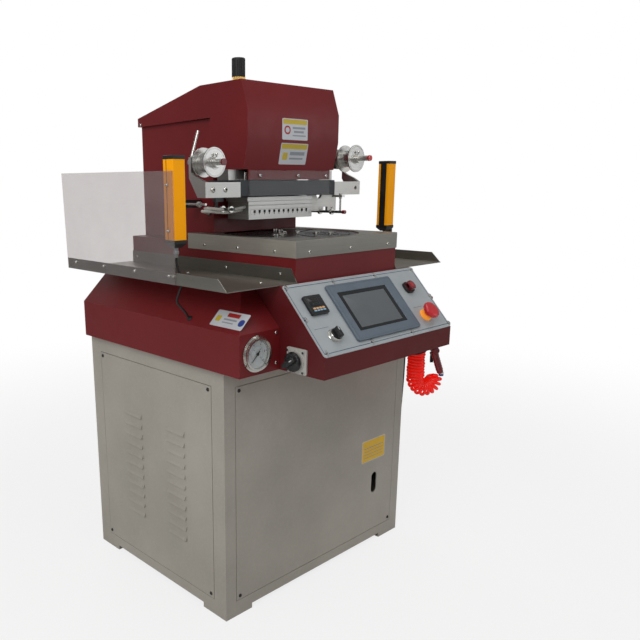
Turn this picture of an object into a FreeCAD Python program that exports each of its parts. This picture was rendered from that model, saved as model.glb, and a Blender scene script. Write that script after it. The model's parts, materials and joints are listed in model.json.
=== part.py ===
import FreeCAD, Part
import math
import os

os.makedirs("parts", exist_ok=True)

# Hot foil stamper: sheet-metal cabinet, sloped upper housing with a control
# console, rotary work table, C-frame head with a heated platen driven down by
# a cylinder, and a foil feed with an unwind and a rewind reel.
#
# Millimetres. +Z up, the operator stands on the -Y side, +X to the operator's
# right. Z = 0 is the floor. While modelling, Y = 0 is the cabinet's front
# plane; every part is moved by -FRAME_Y once, when it is written.

# ------------------------------------------------------- driving dimensions
FRAME_Y = 182.315          # depth of the written frame's origin
RUN_FIT = 0.05             # radial running clearance
SIDES = (-1, 1)            # left, right

CABINET_WIDTH = 697.0
CABINET_HALF = CABINET_WIDTH / 2
CABINET_DEPTH = 556.0
CABINET_TOP = 630.0
SHEET = 2.5                # sheet of cabinet, housing, console and pedestal
FOOT_RELIEF = 13.0         # height of the relief between the corner feet
FOOT_X = 262.0             # inner edge of the corner feet
FOOT_DEPTH = 86.0
SKIN_OUT = 0.4             # panel face in front of the cabinet plane
SKIN_IN = 2.3              # panel back behind the cabinet plane
PANEL_GAP = 1.6
FRONT_OPENING = (-315.0, 315.0, 40.0, 588.0)   # x0, x1, z0, z1, also the rear
SIDE_OPENING = (43.0, 511.0, 40.0, 588.0)      # y0, y1, z0, z1

HOUSING_HALF = 366.0
HOUSING_FRONT = -71.0
HOUSING_BASE = CABINET_TOP + 0.2
HOUSING_BAND = 724.6       # top of the vertical band
DECK_Z = 817.0             # top of the slopes
SLOPE_IN = 97.0            # how far the slopes run inwards

CONSOLE_HALF = 245.0
CONSOLE_FRONT = -201.7
CONSOLE_LIP = 677.4        # lower edge of the sloped panel
CONSOLE_TOP_Y = -72.8      # upper edge of the sloped panel
CONSOLE_TOP_Z = DECK_Z - 0.2

PEDESTAL_HALF = 187.4
PEDESTAL_FRONT = -63.4
PEDESTAL_BACK = 570.0
PEDESTAL_REAR_Z = 890.6
TABLE_HALF = 189.4
TABLE_FRONT = -65.4
TABLE_BACK = 315.6
TABLE_Z = 910.6
TABLE_SKIRT = 39.0
TURN_Y = 128.0             # rotary table centre
TURN_R = 169.5
TURN_OPENING_R = 173.0
HUB_BOLT_RING = 24.0
SPINDLE_R = 25.0

TRAY_HALF = 397.4
TRAY_FRONT = -68.9
TRAY_BACK = 570.9
TRAY_LIP = 27.0
TRAY_BASE = DECK_Z + 0.2
TRAY_SHEET = 1.8

COLUMN_HALF = 153.6
COLUMN_FRONT = 253.7
COLUMN_BACK = 555.0
HOOD_HALF = 164.3
HOOD_BASE = 1066.8
COVER_SHEET = 2.0          # column cover and hood

HEAD_HALF = 173.0
HEAD_FRONT, HEAD_BACK = 132.0, 250.0
HEAD_Z0, HEAD_Z1 = 1003.0, 1041.0
RAM_Y = 201.0
RAM_R = 22.0
GUIDE_X, GUIDE_R = 88.0, 9.0
PISTON_BORE_R = 43.0
HEATER_HALF = 117.0
HEATER_FRONT, HEATER_BACK = 163.0, 240.0

REEL_X = 257.0
REEL_Z = {-1: 1081.0, 1: 1098.0}
REEL_R = {-1: 33.5, 1: 36.0}
REEL_FRONT = 126.0         # front face of the front flange
REEL_SHAFT_R = 5.0
REEL_JOURNAL_R = 7.0

# dome screws: head radius, head height, shank radius, shank length
PANEL_SCREW = (4.6, 2.4, 2.4, 9)
SHEET_SCREW = (4.0, 2.2, 1.8, 7)
FLANGE_SCREW = (4.0, 2.2, 1.8, 6)
SHORT_SCREW = (4.0, 2.2, 1.8, 3.0)
CONSOLE_SCREW = (4.0, 2.2, 2.0, 9)
GAUGE_SCREW = (1.6, 1.0, 0.9, 6)
GUARD_SCREW = (4.4, 2.4, 1.8, 7)
SMALL_GUARD_SCREW = (3.4, 2.4, 1.8, 7)
CURTAIN_SCREW = (4.2, 2.4, 1.2, 5.5)
SHIELD_SCREW = (4.2, 2.4, 1.8, 7)
HOOD_SCREW = (4.2, 2.4, 1.8, 3.2)
BRACKET_SCREW = (6.4, 3.4, 2.4, 8)

V = FreeCAD.Vector
X_AXIS, Y_AXIS, Z_AXIS = V(1, 0, 0), V(0, 1, 0), V(0, 0, 1)
parts = {}
dome_screws = []
drill_jobs = []            # (part name, hole), cut once all parts exist


# ------------------------------------------------------------ shape helpers
def box(x0, x1, y0, y1, z0, z1):
    return Part.makeBox(x1 - x0, y1 - y0, z1 - z0, V(x0, y0, z0))


def side_box(side, x0, x1, y0, y1, z0, z1):
    """Box given for the right-hand side, moved to the left if side is -1."""
    low, high = sorted((side * x0, side * x1))
    return box(low, high, y0, y1, z0, z1)


def cylinder(point, axis, radius, length):
    return Part.makeCylinder(radius, length, V(*point), V(*axis))


def along_x(x, y, z, radius, length):
    return cylinder((x, y, z), X_AXIS, radius, length)


def along_y(x, y, z, radius, length):
    return cylinder((x, y, z), Y_AXIS, radius, length)


def upright(x, y, z, radius, length):
    return cylinder((x, y, z), Z_AXIS, radius, length)


def upright_cone(x, y, z, radius, top_radius, height):
    return Part.makeCone(radius, top_radius, height, V(x, y, z), Z_AXIS)


def tube(point, axis, outer, inner, length):
    return cylinder(point, axis, outer, length).cut(cylinder(point, axis, inner, length))


def closed_wire(points):
    return Part.makePolygon(points + [points[0]])


def prism_x(outline, x0, x1):
    """Prism along X from a (y, z) outline."""
    wire = closed_wire([V(x0, y, z) for y, z in outline])
    return Part.Face(wire).extrude(V(x1 - x0, 0, 0))


def side_prism(side, outline, x0, x1):
    low, high = sorted((side * x0, side * x1))
    return prism_x(outline, low, high)


def prism_y(outline, y0, y1):
    """Prism along Y from an (x, z) outline."""
    wire = closed_wire([V(x, y0, z) for x, z in outline])
    return Part.Face(wire).extrude(V(0, y1 - y0, 0))


def hexagon(x, y, z, radius, height):
    angles = [math.radians(60 * i) for i in range(6)]
    wire = closed_wire([V(x + radius * math.cos(a), y + radius * math.sin(a), z) for a in angles])
    return Part.Face(wire).extrude(V(0, 0, height))


def rectangle(x0, x1, y0, y1, z):
    return closed_wire([V(x0, y0, z), V(x1, y0, z), V(x1, y1, z), V(x0, y1, z)])


def loft(lower, upper):
    return Part.makeLoft([lower, upper], True, True)


def fillet(shape, radius, test):
    """Round the edges whose bounding box passes the test."""
    return shape.makeFillet(radius, [edge for edge in shape.Edges if test(edge.BoundBox)])


def rounded_box(x0, x1, y0, y1, z0, z1, radius):
    """Box with rounded vertical edges."""
    return fillet(box(x0, x1, y0, y1, z0, z1), radius, lambda b: b.ZLength > 0.01)


def fuse(*shapes):
    out = shapes[0]
    for shape in shapes[1:]:
        out = out.fuse(shape)
    return out.removeSplitter()


def group(shapes):
    return Part.makeCompound(shapes)


def mirrored(shape, side):
    """Right-hand shape, mirrored to the left if side is -1."""
    return shape.mirror(V(0, 0, 0), X_AXIS) if side < 0 else shape


def curve_pipe(points, radius):
    """Round cable along a smooth curve through the points."""
    points = [V(*p) for p in points]
    curve = Part.BSplineCurve()
    curve.interpolate(points)
    start = curve.tangent(curve.FirstParameter)[0]
    section = Part.Wire([Part.makeCircle(radius, points[0], start)])
    return Part.Wire([curve.toShape()]).makePipeShell([section], True, True)


def rod_chain(points, radius):
    """Cable of straight runs with a ball at every bend."""
    points = [V(*p) for p in points]
    runs = [Part.makeCylinder(radius, (b - a).Length, a, b - a)
            for a, b in zip(points[:-1], points[1:])]
    balls = [Part.makeSphere(radius + 0.15, p) for p in points[1:-1]]
    return fuse(*runs, *balls)


def dome_screw(point, axis, head_radius, head_height, shank_radius, length):
    """Dome head standing on the point, shank going the other way."""
    half_angle = math.atan2(head_height, head_radius)
    dome = (head_radius ** 2 + head_height ** 2) / (2 * head_height)
    middle = V(dome * math.sin(half_angle), 0,
               head_height - dome + dome * math.cos(half_angle))
    tail, tail_edge = V(0, 0, -length), V(shank_radius, 0, -length)
    neck, rim, crown = V(shank_radius, 0, 0), V(head_radius, 0, 0), V(0, 0, head_height)
    profile = Part.Wire([
        Part.makeLine(tail, tail_edge), Part.makeLine(tail_edge, neck),
        Part.makeLine(neck, rim), Part.Arc(rim, middle, crown).toShape(),
        Part.makeLine(crown, tail)])
    screw = Part.Face(profile).revolve(V(0, 0, 0), Z_AXIS, 360)
    screw.Placement = FreeCAD.Placement(V(*point), FreeCAD.Rotation(Z_AXIS, V(*axis)))
    return screw


def drill(hole, *names):
    for name in names:
        drill_jobs.append((name, hole))


def add_screw(screws, point, axis, size, *names):
    """Add a screw and its clearance hole in the named parts."""
    screws.append(dome_screw(point, axis, *size))
    shank_radius, length = size[2:]
    axis = V(*axis)
    start = V(*point) - axis * (length + 0.4)
    drill(Part.makeCylinder(shank_radius + 0.15, length + 0.6, start, axis), *names)


# ------------------------------------------------------------------ cabinet
def rebate_ring(along, start, opening):
    """Sheet ring 2 mm thick behind an opening; along is the axis it faces."""
    a0, a1, z0, z1 = opening

    def block(grow, extra):
        across = (a0 - grow, a1 + grow)
        through = (start - extra, start + 2.0 + extra)
        spans = across + through if along == "y" else through + across
        return box(*spans, z0 - grow, z1 + grow)

    return block(6, 0).cut(block(-16, 1))


def cabinet_frame():
    half, depth = CABINET_HALF, CABINET_DEPTH
    inside = (-half + SHEET, half - SHEET, SHEET, depth - SHEET)
    frame = box(-half, half, 0, depth, 0, CABINET_TOP).cut(
        box(*inside, -1, CABINET_TOP + 1))
    floor_pan = box(*inside, 16, 19)
    top_ring = box(*inside, CABINET_TOP - SHEET, CABINET_TOP).cut(
        box(-300, 300, 40, depth - 40, CABINET_TOP - 5, CABINET_TOP + 1))
    frame = frame.fuse(floor_pan).fuse(top_ring)
    # panel openings
    x0, x1, z0, z1 = FRONT_OPENING
    frame = frame.cut(box(x0, x1, -1, SHEET, z0, z1))
    frame = frame.cut(box(x0, x1, depth - SHEET, depth + 1, z0, z1))
    frame = frame.cut(box(-half - 1, -half + SHEET, *SIDE_OPENING))
    frame = frame.cut(box(half - SHEET, half + 1, *SIDE_OPENING))
    for start in (SHEET, depth - SHEET - 2.0):
        frame = frame.fuse(rebate_ring("y", start, FRONT_OPENING))
    for start in (-half + SHEET, half - SHEET - 2.0):
        frame = frame.fuse(rebate_ring("x", start, SIDE_OPENING))
    # relief between the corner feet
    frame = frame.cut(box(-FOOT_X, FOOT_X, -1, depth + 1, -1, FOOT_RELIEF))
    frame = frame.cut(box(-half - 1, half + 1, FOOT_DEPTH, depth - FOOT_DEPTH, -1, FOOT_RELIEF))
    # foot plates
    for side in SIDES:
        for y0 in (0.0, depth - FOOT_DEPTH):
            frame = frame.fuse(side_box(side, FOOT_X, half, y0, y0 + FOOT_DEPTH, 0, 3.0))
    return frame.removeSplitter()


def inset(opening):
    a0, a1, z0, z1 = opening
    return a0 + PANEL_GAP, a1 - PANEL_GAP, z0 + PANEL_GAP, z1 - PANEL_GAP


def front_panel():
    x0, x1, z0, z1 = inset(FRONT_OPENING)
    panel = box(x0, x1, -SKIN_OUT, SKIN_IN, z0, z1)
    # upright slot with round ends near the right edge
    slot_x, slot_z, slot_r, slot_half = 227, 189.0, 12.5, 19
    slot = fuse(along_y(slot_x, -2, slot_z + slot_half, slot_r, 8),
                along_y(slot_x, -2, slot_z - slot_half, slot_r, 8),
                box(slot_x - slot_r, slot_x + slot_r, -2, 6,
                    slot_z - slot_half, slot_z + slot_half))
    return panel.cut(slot).removeSplitter()


def rear_panel():
    x0, x1, z0, z1 = inset(FRONT_OPENING)
    panel = box(x0, x1, CABINET_DEPTH - SKIN_IN, CABINET_DEPTH + SKIN_OUT, z0, z1)
    vents = [rounded_box(-110, 110, CABINET_DEPTH - 3, CABINET_DEPTH + 1, z, z + 6, 0.2)
             for z in range(380, 380 + 9 * 16, 16)]
    return panel.cut(group(vents))


def side_panel(side):
    inner, outer = CABINET_HALF - SKIN_IN, CABINET_HALF + SKIN_OUT
    hoods, slots = [], []
    for y0, y1 in ((324.9, 401.4), (145.8, 217.8)):     # two columns of louvres
        for i in range(11):
            z = 158.0 + i * 28.0
            hoods.append(prism_y([(outer - 0.3, z + 13), (outer - 0.3, z),
                                  (outer + 5.5, z), (outer + 5.5, z + 3)], y0, y1))
            slots.append(box(inner - 1, outer + 4.2, y0 + 1.5, y1 - 1.5, z - 0.5, z + 2.6))
    panel = box(inner, outer, *inset(SIDE_OPENING)).fuse(hoods).cut(group(slots))
    return mirrored(panel, side).removeSplitter()


def panel_screws():
    screws = []
    face = CABINET_HALF + SKIN_OUT
    for x in (-303.0, 303.0):
        for z in (52.0, 577.0):
            add_screw(screws, (x, -SKIN_OUT, z), (0, -1, 0), PANEL_SCREW,
                      "front_panel", "cabinet_frame")
            add_screw(screws, (x, CABINET_DEPTH + SKIN_OUT, z), (0, 1, 0), PANEL_SCREW,
                      "rear_panel", "cabinet_frame")
    for y in (55.0, 501.0):
        for z in (52.0, 577.0):
            add_screw(screws, (-face, y, z), (-1, 0, 0), PANEL_SCREW,
                      "left_side_panel", "cabinet_frame")
            add_screw(screws, (face, y, z), (1, 0, 0), PANEL_SCREW,
                      "right_side_panel", "cabinet_frame")
    return group(screws)


parts["cabinet_frame"] = cabinet_frame()
parts["front_panel"] = front_panel()
parts["rear_panel"] = rear_panel()
parts["left_side_panel"] = side_panel(-1)
parts["right_side_panel"] = side_panel(1)
parts["panel_screws"] = panel_screws()

# ------------------------------------------------------------ upper housing
GAUGE_X, GAUGE_Z = -317.3, 678.1


def deck_housing():
    half, front, back = HOUSING_HALF, HOUSING_FRONT, CABINET_DEPTH
    top_half, top_front = half - SLOPE_IN, front + SLOPE_IN
    outer = box(-half, half, front, back, HOUSING_BASE, HOUSING_BAND).fuse(
        loft(rectangle(-half, half, front, back, HOUSING_BAND),
             rectangle(-top_half, top_half, top_front, back, DECK_Z)))
    half, front, back = half - SHEET, front + SHEET, back - SHEET
    top_half, top_front = top_half - 1.0, top_front + 1.0
    inner_band = HOUSING_BAND - 1.0
    inner = box(-half, half, front, back, HOUSING_BASE + SHEET, inner_band).fuse(
        loft(rectangle(-half, half, front, back, inner_band),
             rectangle(-top_half, top_half, top_front, back, DECK_Z - SHEET)))
    housing = outer.cut(inner)
    # open to the cabinet, the column and spindle, and the console wiring
    housing = housing.cut(box(-296, 296, 44, CABINET_DEPTH - 44,
                              CABINET_TOP - 1, CABINET_TOP + 5))
    housing = housing.cut(box(-152, 152, 46, CABINET_DEPTH - 8, DECK_Z - 5, DECK_Z + 5))
    housing = housing.cut(box(-220, 220, HOUSING_FRONT - 1, HOUSING_FRONT + SHEET + 1, 648, 712))
    gauge_hole = along_y(GAUGE_X, HOUSING_FRONT - 1, GAUGE_Z, 31.0, 6)
    return housing.cut(gauge_hole)


parts["deck_housing"] = deck_housing().removeSplitter()

# ------------------------------------------------------------------ console
# Panel frame: x right, y up the slope from the upper edge, z out of the panel.
# Positions on the panel are given as (x, distance down from the upper edge).
RISE_Y = CONSOLE_TOP_Y - CONSOLE_FRONT
RISE_Z = CONSOLE_TOP_Z - CONSOLE_LIP
PANEL_LENGTH = math.hypot(RISE_Y, RISE_Z)
PANEL_PLACEMENT = FreeCAD.Placement(
    V(0, CONSOLE_TOP_Y, CONSOLE_TOP_Z),
    FreeCAD.Rotation(X_AXIS, math.degrees(math.atan2(RISE_Z, RISE_Y))))

# x0, x1, upper edge, lower edge
PLATE_AREA = (-244, 244, 1.0, PANEL_LENGTH - 0.6)
HMI_AREA = (-120.6, 121.5, 20.0, 172.0)
SCREEN_AREA = (-87.0, 78.0, 52.0, 139.5)
CONTROLLER_AREA = (-211.0, -155.5, 39.0, 88.0)
SELECTOR = (-180.0, 144.5)
START = (173.0, 61.0)
ESTOP = (170.0, 145.0)
BEZEL_BARREL_R = 11.2
BUTTON_STEM_R = 9.55
CONSOLE_SCREWS = [
    (-238, 8), (-81, 10), (77, 10), (235, 10), (238, 95),
    (239, 181), (79, 180), (-77, 179), (-234, 180), (-237, 94)]


def on_panel(shape):
    shape = shape.copy()
    shape.Placement = PANEL_PLACEMENT.multiply(shape.Placement)
    return shape


def panel_block(area, z0, z1, inset_x=0, inset_y=0, radius=0):
    x0, x1, upper, lower = area
    spans = (x0 + inset_x, x1 - inset_x, -(lower - inset_y), -(upper + inset_y), z0, z1)
    return on_panel(rounded_box(*spans, radius) if radius else box(*spans))


def cut_panel_openings(shape):
    shape = shape.cut(panel_block(HMI_AREA, -10, 10, 8, 8))
    shape = shape.cut(panel_block(CONTROLLER_AREA, -10, 10, 4, 3))
    return shape.cut(group([on_panel(upright(x, -down, -10, 11.5, 20))
                            for x, down in (SELECTOR, START, ESTOP)]))


def console_housing():
    back = HOUSING_FRONT - 0.3
    outer = [(CONSOLE_FRONT, HOUSING_BASE), (CONSOLE_FRONT, CONSOLE_LIP),
             (CONSOLE_TOP_Y, CONSOLE_TOP_Z), (24.5, CONSOLE_TOP_Z),
             (back, HOUSING_BAND - 0.2), (back, HOUSING_BASE)]
    front = CONSOLE_FRONT + SHEET
    inner = [(front, HOUSING_BASE + SHEET), (front, CONSOLE_LIP - 1.0),
             (CONSOLE_TOP_Y + 1.1, CONSOLE_TOP_Z - SHEET), (19.6, CONSOLE_TOP_Z - SHEET),
             (back - 2.2, HOUSING_BAND + 0.8), (back - 2.2, HOUSING_BASE + SHEET)]
    console = prism_x(outer, -CONSOLE_HALF, CONSOLE_HALF).cut(
        prism_x(inner, -CONSOLE_HALF + SHEET, CONSOLE_HALF - SHEET))
    console = console.cut(box(-218, 218, -80, HOUSING_FRONT + 1, 650, 710))
    return cut_panel_openings(console).removeSplitter()


def hmi_bezel():
    bezel = panel_block(HMI_AREA, 2.2, 8.0, radius=6).fuse(
        panel_block(HMI_AREA, -34, 2.4, 9, 9))
    return bezel.cut(panel_block(SCREEN_AREA, 5.4, 9, -9, -9)).removeSplitter()


def button_bezel(x, down):
    bezel = on_panel(fuse(upright_cone(x, -down, 2.2, 17.0, 14.5, 5.5),
                          upright(x, -down, -26, BEZEL_BARREL_R, 29)))
    return bezel.cut(on_panel(upright(x, -down, -8, 9.6, 30))).removeSplitter()


def selector_knob():
    x, y = SELECTOR[0], -SELECTOR[1]
    return on_panel(fuse(upright(x, y, -6, BUTTON_STEM_R, 15), upright(x, y, 8.0, 13.0, 4),
                         box(x - 5, x + 5, y - 12.5, y + 12.5, 11.9, 24)))


def start_button():
    x, y = START[0], -START[1]
    return on_panel(fuse(upright(x, y, -2, BUTTON_STEM_R, 13.5),
                         rounded_box(x - 12, x + 12, y - 12, y + 12, 11.5, 19.0, 4.0)))


def estop_collar():
    x, y = ESTOP[0], -ESTOP[1]
    collar = fuse(upright(x, y, 2.2, 16.0, 9.5), upright(x, y, -30, BEZEL_BARREL_R, 33))
    return on_panel(collar.cut(upright(x, y, -9, 8.0 + RUN_FIT, 30)))


def estop_button():
    x, y = ESTOP[0], -ESTOP[1]
    return on_panel(fuse(upright(x, y, -3, 8.0, 22), upright_cone(x, y, 17.5, 17.5, 22.5, 5.0),
                         upright(x, y, 22.4, 22.5, 6.0),
                         upright_cone(x, y, 28.3, 22.5, 16.0, 3.6)))


def fit_console_screws():
    for x, down in CONSOLE_SCREWS:
        dome_screws.append(on_panel(dome_screw((x, -down, 2.1), Z_AXIS, *CONSOLE_SCREW)))
        drill(on_panel(upright(x, -down, -7.5, 2.15, 10.2)), "console_panel", "console_housing")


parts["console_housing"] = console_housing()
parts["console_panel"] = cut_panel_openings(
    panel_block(PLATE_AREA, 0.1, 2.1, radius=7)).removeSplitter()
parts["hmi_bezel"] = hmi_bezel()
parts["hmi_screen"] = panel_block(SCREEN_AREA, 5.5, 6.6, -8.8, -8.8)
parts["temperature_controller"] = panel_block(CONTROLLER_AREA, 2.2, 9.5, radius=3).fuse(
    panel_block(CONTROLLER_AREA, -44, 2.4, 5, 4)).removeSplitter()
parts["button_bezels"] = group([button_bezel(*SELECTOR), button_bezel(*START)])
parts["selector_knob"] = selector_knob()
parts["start_button"] = start_button()
parts["estop_collar"] = estop_collar()
parts["estop_button"] = estop_button()
fit_console_screws()

# main isolator on the console's left cheek
ISOLATOR_X = -CONSOLE_HALF
ISOLATOR_AREA = (-155.0, -98.0, 632.0, 688.5)           # y0, y1, z0, z1
ISOLATOR_Y = sum(ISOLATOR_AREA[:2]) / 2
ISOLATOR_Z = sum(ISOLATOR_AREA[2:]) / 2
ISOLATOR_STEM_R = 6.0


def isolator_plate():
    x, y, z = ISOLATOR_X, ISOLATOR_Y, ISOLATOR_Z
    plate = fillet(box(x - 5.0, x - 0.1, *ISOLATOR_AREA), 4.0, lambda b: b.XLength > 1)
    plate = plate.fuse(along_x(x - 0.2, y, z, 13.0, 42)).fuse(along_x(x - 9, y, z, 22.5, 5))
    drill(along_x(x - 1, y, z, 14, 6), "console_housing")
    return plate.cut(along_x(x - 12, y, z, ISOLATOR_STEM_R + RUN_FIT, 32)).removeSplitter()


def isolator_knob():
    x, y, z = ISOLATOR_X, ISOLATOR_Y, ISOLATOR_Z
    knob = fuse(cylinder((x - 9.2, y, z), (-1, 0, 0), 22.0, 7),
                cylinder((x - 16.1, y, z), (-1, 0, 0), 17.0, 1.5),
                box(x - 30, x - 17.5, y - 20.0, y + 20.0, z - 6.0, z + 6.0),
                along_x(x - 10, y, z, ISOLATOR_STEM_R, 26))
    knob = knob.cut(box(x - 31, x - 28.4, y - 14, y + 2, z - 1.2, z + 1.2))
    knob.rotate(V(x, y, z), X_AXIS, -35)
    return knob.removeSplitter()


parts["isolator_plate"] = isolator_plate()
parts["isolator_knob"] = isolator_knob()


# ----------------------------------------------------------- pressure gauge
def gauge_case():
    x, y, z = GAUGE_X, HOUSING_FRONT, GAUGE_Z
    forward = (0, -1, 0)
    case = fuse(tube((x, y - 0.2, z), forward, 40.2, 33.5, 3.0),    # flange
                tube((x, y - 3.0, z), forward, 36.5, 31.5, 7.5),    # rim
                along_y(x, y - 2.0, z, 30.0, 30), along_y(x, y - 3.4, z, 34.0, 1.6),
                along_y(x, y + 20, z, 8.0, 30))
    return case.cut(along_y(x, y - 4.0, z, 2.0 + RUN_FIT, 12)).removeSplitter()


def gauge_needle():
    x, y, z = GAUGE_X, HOUSING_FRONT, GAUGE_Z
    needle = fuse(along_y(x, y - 6.6, z, 3.6, 1.8), along_y(x, y - 5.0, z, 2.0, 10),
                  prism_y([(x - 1.6, z - 9), (x + 1.6, z - 9), (x + 0.5, z + 24),
                           (x - 0.5, z + 24)], y - 6.0, y - 5.2))
    needle.rotate(V(x, y, z), Y_AXIS, -135)
    return needle.removeSplitter()


def fit_gauge_screws():
    for angle in (90, 210, 330):
        x = GAUGE_X + 38.4 * math.cos(math.radians(angle))
        z = GAUGE_Z + 38.4 * math.sin(math.radians(angle))
        dome_screws.append(dome_screw((x, HOUSING_FRONT - 3.2, z), (0, -1, 0), *GAUGE_SCREW))
        drill(along_y(x, HOUSING_FRONT - 4.6, z, 1.05, 9), "gauge_case", "deck_housing")


parts["gauge_case"] = gauge_case()
parts["gauge_needle"] = gauge_needle()
fit_gauge_screws()


# --------------------------------------------------- pedestal and table cap
def pedestal():
    base, step_y, top = DECK_Z + 0.2, TABLE_BACK - 2.6, TABLE_Z - 2.3

    def profile(wall, bottom):
        front, step, back = PEDESTAL_FRONT + wall, step_y - wall, PEDESTAL_BACK - wall
        rear_z = PEDESTAL_REAR_Z - wall
        return [(front, bottom), (front, top - wall), (step, top - wall),
                (step, rear_z), (back, rear_z), (back, bottom)]

    body = prism_x(profile(0, base), -PEDESTAL_HALF, PEDESTAL_HALF)
    body = body.cut(prism_x(profile(SHEET, base - 1),
                            -PEDESTAL_HALF + SHEET, PEDESTAL_HALF - SHEET))
    body = body.cut(upright(0, TURN_Y, TABLE_Z - 12, TURN_OPENING_R, 20))
    return body.cut(box(-146, 146, 296, 546, 880, 920)).removeSplitter()


def table_top():
    skirt_z, under_z = TABLE_Z - TABLE_SKIRT, TABLE_Z - 2.1
    cap = box(-TABLE_HALF, TABLE_HALF, TABLE_FRONT, TABLE_BACK, skirt_z, TABLE_Z).cut(
        box(-TABLE_HALF + 1.8, TABLE_HALF - 1.8, TABLE_FRONT + 1.8, TABLE_BACK + 1,
            skirt_z - 1, under_z))
    cap = cap.cut(box(-PEDESTAL_HALF - 0.1, PEDESTAL_HALF + 0.1, TABLE_BACK - 2.5,
                      TABLE_BACK + 1, skirt_z - 1, under_z))
    cap = cap.cut(upright(0, TURN_Y, TABLE_Z - 12, TURN_OPENING_R, 20))
    cap = cap.cut(box(-146, 146, 296, 400, 880, 920))
    return fillet(cap, 1.2, lambda b: b.ZMin > TABLE_Z - 0.01
                  and (b.XLength > 370 or b.YLength > 370))


parts["pedestal"] = pedestal()
parts["table_top"] = table_top()

# ------------------------------------------------ side trays and clear guard
GUARD_X = TRAY_HALF + 0.2
GUARD_OUTER = GUARD_X + 3.0


def tray(side):
    """Floor, outer lip with a slanted front corner, and inner flange."""
    inner, outer = PEDESTAL_HALF + 0.3, TRAY_HALF
    floor = box(inner, outer, TRAY_FRONT, TRAY_BACK, TRAY_BASE, DECK_Z + 2.0)

    def upstand(slant, top):
        return [(TRAY_FRONT, TRAY_BASE), (TRAY_FRONT + slant, top),
                (TRAY_BACK, top), (TRAY_BACK, TRAY_BASE)]

    lip = prism_x(upstand(29, TRAY_BASE + TRAY_LIP), outer - TRAY_SHEET, outer)
    flange = prism_x(upstand(18, DECK_Z + 32), inner, inner + TRAY_SHEET)
    return mirrored(floor.fuse(lip).fuse(flange), side).removeSplitter()


def curtain_strip():
    """Steel strip outside the right tray lip that carries the curtain bar."""
    strip = box(GUARD_X, GUARD_OUTER, 99.0, 129.0, DECK_Z + 0.4, 1046.0)
    return fillet(strip, 4.0, lambda b: b.XLength > 2.5 and b.ZMin > 1040)


def fit_deck_screws():
    for side, guard, tray_name, guard_ys in (
            (-1, "side_guard", "left_tray", (525.0, 390.0, 254.0, 120.5, 104.8)),
            (1, "right_tray", "right_tray", (120.5, 107.0))):
        outward = (side, 0, 0)
        for y in guard_ys:
            size = GUARD_SCREW if y > 110 else SMALL_GUARD_SCREW
            add_screw(dome_screws, (side * (GUARD_OUTER + 0.1), y, 836.0), outward, size,
                      guard, tray_name)
        for y in (549.0, 168.0, -17.0):
            add_screw(dome_screws, (side * (PEDESTAL_HALF + 2.15), y, 834.0), outward,
                      FLANGE_SCREW, tray_name, "pedestal")
        for y, size in ((243.0, FLANGE_SCREW), (-16.0, SHORT_SCREW)):
            add_screw(dome_screws, (side * 249.5, y, DECK_Z + 2.05), (0, 0, 1), size,
                      tray_name, "deck_housing")
        for y in (249.0, 126.0, 0.6):
            add_screw(dome_screws, (side * (TABLE_HALF + 0.05), y, 883.5), outward,
                      SHEET_SCREW, "table_top", "pedestal")
    for x in (-143.6, 2.8, 150.7):
        add_screw(dome_screws, (x, TABLE_FRONT - 0.05, 883.3), (0, -1, 0), SHEET_SCREW,
                  "table_top", "pedestal")
    for z in (648.0, 716.0):
        for side in SIDES:
            add_screw(dome_screws, (side * 256.0, HOUSING_FRONT - 0.05, z), (0, -1, 0),
                      SHEET_SCREW, "deck_housing")


parts["left_tray"] = tray(-1)
parts["right_tray"] = group([tray(1), curtain_strip()])
parts["side_guard"] = mirrored(prism_x(
    [(100.0, DECK_Z + 0.4), (100.0, 1061.0), (572.0, 1062.0), (566.0, DECK_Z + 0.4)],
    GUARD_X, GUARD_OUTER), -1)
fit_deck_screws()

# ------------------------------------------------------------ light curtain
CURTAIN_X0, CURTAIN_X1 = 363.0, 396.0
CURTAIN_X = (CURTAIN_X0 + CURTAIN_X1) / 2
CURTAIN_Y = {-1: (101.0, 137.0), 1: (93.0, 129.0)}
CURTAIN_Z0, CURTAIN_Z1 = 914.0, 1085.0


def curtain_bar(side):
    y0, y1 = CURTAIN_Y[side]
    low, high = CURTAIN_Z0 - 1, CURTAIN_Z1 + 1
    bar = fillet(side_box(side, CURTAIN_X0, CURTAIN_X1, y0, y1, CURTAIN_Z0, CURTAIN_Z1),
                 2.0, lambda b: b.ZLength > 100)
    # lens channel on the inner face, narrow groove on the outer face
    bar = bar.cut(side_box(side, CURTAIN_X0, CURTAIN_X0 + 2.0, y0 + 8.0, y0 + 28.0, low, high))
    return bar.cut(side_box(side, CURTAIN_X1 - 2.0, CURTAIN_X1, y0 + 23.0, y0 + 25.5, low, high))


def curtain_lens(side):
    y0 = CURTAIN_Y[side][0]
    return side_box(side, CURTAIN_X0 + 0.4, CURTAIN_X0 + 1.9, y0 + 8.2, y0 + 27.8,
                    CURTAIN_Z0, CURTAIN_Z1)


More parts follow.
